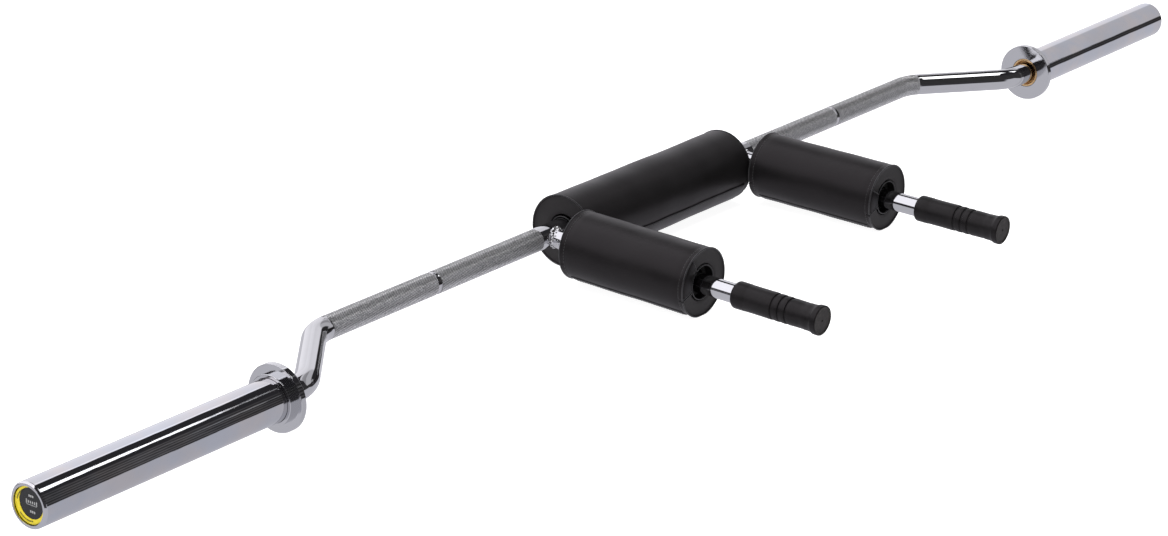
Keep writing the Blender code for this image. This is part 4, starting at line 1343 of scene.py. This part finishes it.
def make_sky():
    """Pale walls behind, a dark ceiling and front, strip lights.

    A direction's level hangs on its part along the bar (x) and its angle round it, 0 ahead and 90 above.
    """
    sky = Sky((0.03, 0.029, 0.032))
    angle = sky.maths("ARCTAN2", sky.z, sky.times(sky.y, -1.0))
    degrees = sky.times(angle, 180.0 / math.pi)
    # From -90, below, round the front to 270, below again
    degrees = sky.maths("SUBTRACT", sky.maths("FLOORED_MODULO", sky.total(degrees, 90.0), 360.0), 90.0)
    from_middle = sky.apart(sky.x, 0.65)

    # Dark ceiling ahead, charcoal panels low down in front
    panels = sky.maths("SINE", sky.times(degrees, math.tau / PANEL_WIDTH))
    front = sky.times(sky.span(from_middle, 0.0, 0.035, 0.12, 0.055), sky.span(panels, -0.6, 0.6, 0.45, 1.25))
    sky.paint(sky.step(degrees, 56.0, 42.0), sky.tinted(front, (1.0, 0.97, 1.0)))
    # Strip light above the front, which narrows and fades to the right, and a faint one below it
    strip = sky.near(degrees, 73.0, sky.ramps((0.615, 0.675, 8.0, 2.0)))
    level = sky.ramps((0.655, 0.675, 2.6, 0.4))
    sky.paint(sky.times(strip, sky.within(sky.x, 0.58, 0.685, 0.01)), sky.tinted(level, (1.0, 1.0, 1.02)))
    faint = sky.times(sky.near(degrees, 34.5, 2.0), sky.within(sky.x, 0.665, 0.685, 0.008))
    sky.paint(faint, (0.3, 0.3, 0.31))
    # Strip light nearly overhead
    strip = sky.near(degrees, sky.ramps((0.17, 0.33, 66.0, 79.0)), 4.5)
    sky.paint(sky.times(strip, sky.within(sky.x, -0.05, 0.46, 0.04)), (3.2, 3.2, 3.2))
    # Pale wall behind, reaching further forward to the right
    edge = sky.ramps(
        (0.69, 0.79, 110.0, 72.0), (0.79, 0.845, 0.0, -54.0), (0.595, 0.61, 27.0, 0.0),
        (0.25, 0.35, -37.0, 0.0),
    )
    past = sky.maths("SUBTRACT", degrees, edge)
    wall = sky.total(
        sky.ramps((0.62, 0.85, 1.0, 0.62), (0.2, 0.62, 0.45, 0.0)),
        sky.times(sky.within(sky.x, 0.64, 0.75, 0.03), 0.15),
        sky.times(sky.near(past, 4.0, 3.0), sky.step(sky.x, 0.72, 0.70), 0.3),
        sky.times(sky.step(degrees, 124.0, 132.0), sky.ramps((0.70, 0.85, 0.0, 0.33))),
        sky.times(sky.within(sky.x, 0.76, 0.833, 0.01), sky.step(degrees, 128.0, 122.0), -0.3),
    )
    sky.paint(sky.step(past, -1.5, 1.5), sky.tinted(wall, (0.98, 0.965, 1.02)))
    # Dark stand against the wall, where the flange and the grip mark mirror it
    sky.paint(sky.times(sky.within(sky.x, 0.69, 0.737, 0.003), sky.within(degrees, 20.0, 131.0, 3.0)), DARK)
    # Dark far right, with one lamp in it, which the bends mirror
    sky.paint(sky.step(sky.x, 0.93, 0.945), DARK)
    sky.paint(sky.lobe((0.955, -0.24, 0.17), 2.5, 5.0), (0.45, 0.45, 0.47))
    # The floor, as the chrome sees it, which seems to start higher on the left
    start = sky.ramps(
        (0.35, 0.6, -0.13, 0.10), (0.62, 0.68, 0.0, -0.04), (0.69, 0.75, 0.0, 0.04), (0.88, 0.93, 0.0, 0.12)
    )
    below = sky.maths("SUBTRACT", sky.times(sky.z, -1.0), start)
    ground = sky.span(from_middle, 0.03, 0.05, 0.56, 0.65)
    sky.paint(sky.step(below, -0.01, 0.02), sky.tinted(ground, (1.0, 0.99, 1.07)))
    # Dark line where the wall meets the floor on the left
    rim = sky.times(sky.step(sky.x, 0.1, -0.1), sky.within(sky.z, -0.15, 0.24, 0.02))
    sky.paint(rim, (0.05, 0.048, 0.052))
    # The camera itself sees plain white
    mirrored = sky.add("Background", 0, {"Color": sky.colour})
    plain = sky.add("Background", 0, {"Color": (1.0, 1.0, 1.0, 1.0)})
    seen = sky.nodes.new("ShaderNodeLightPath").outputs["Is Camera Ray"]
    shown = sky.add("MixShader", 0, {"Fac": seen, 1: mirrored, 2: plain})
    sky.links.new(shown, sky.nodes.new("ShaderNodeOutputWorld").inputs["Surface"])


def main():
    add_camera()
    make_floor()
    make_sky()
    add_lamp()
    bpy.context.scene.view_settings.view_transform = "Standard"

    looks = {
        "chrome": polished_chrome(),
        "sleeve": ground_sleeve(),
        "collar": turned_collar(),
        "knurl": knurled_chrome(),
        "weld": plated_weld(),
        "vinyl": vinyl(),
        "disc": vinyl_end(),
        "piping": piping_look(),
        "thread": thread_look(),
        "foam": foam_look(),
        "rubber": rubber_look(),
        "rubber_end": rubber_end_look(),
        "bronze": bronze_look(),
        "steel": steel_look(),
        "cap": cap_look(),
        "yellow": print_look("yellow_print", (0.92, 0.74, 0.01), (0.7, 0.5, 0.02)),
        "grey_print": print_look("grey_print", (0.45, 0.45, 0.45), (0.2, 0.2, 0.2)),
        "black_print": print_look("black_print", (0.02, 0.018, 0.01), (0.1, 0.08, 0.01)),
    }
    make_shaft(looks["chrome"])
    for name, (start, end) in KNURLS.items():
        make_knurl(name, start, end, looks["knurl"])
    length = CENTRE_PAD["length"]
    across = Matrix.Rotation(math.pi / 2, 4, "Y")
    hung = Matrix.Translation((-length / 2, SHAFT_Y, SHAFT_HEIGHT - CENTRE_PAD_HANG)) @ across
    make_pad("neck_pad", CENTRE_PAD, CENTRE_FLAP, False, hung, looks, "centre_pad")
    for side, direction in SIDES.items():
        arm = arm_frame(direction)
        make_arm(side, arm, looks["chrome"])
        make_weld(side, direction, arm, looks["weld"])
        pad = arm @ Matrix.Translation((0.0, ARM_PAD_RIDE, ARM_PAD_START))
        make_pad(f"{side}_shoulder_pad", ARM_PAD, ARM_FLAP, True, pad, looks, f"{side}_arm_pad")
        make_tab(f"{side}_shoulder_tab", ARM_PAD, TAB_SPREAD[side], pad, looks)
        make_grip(side, arm, looks)
        sleeve = sleeve_frame(direction)
        make_sleeve_end(side, direction, sleeve, looks)
        for node, look in INSIDES.items():
            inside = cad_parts[f"{side}_{node}"]
            inside.data.materials.clear()
            inside.data.materials.append(looks[look].material)


main()
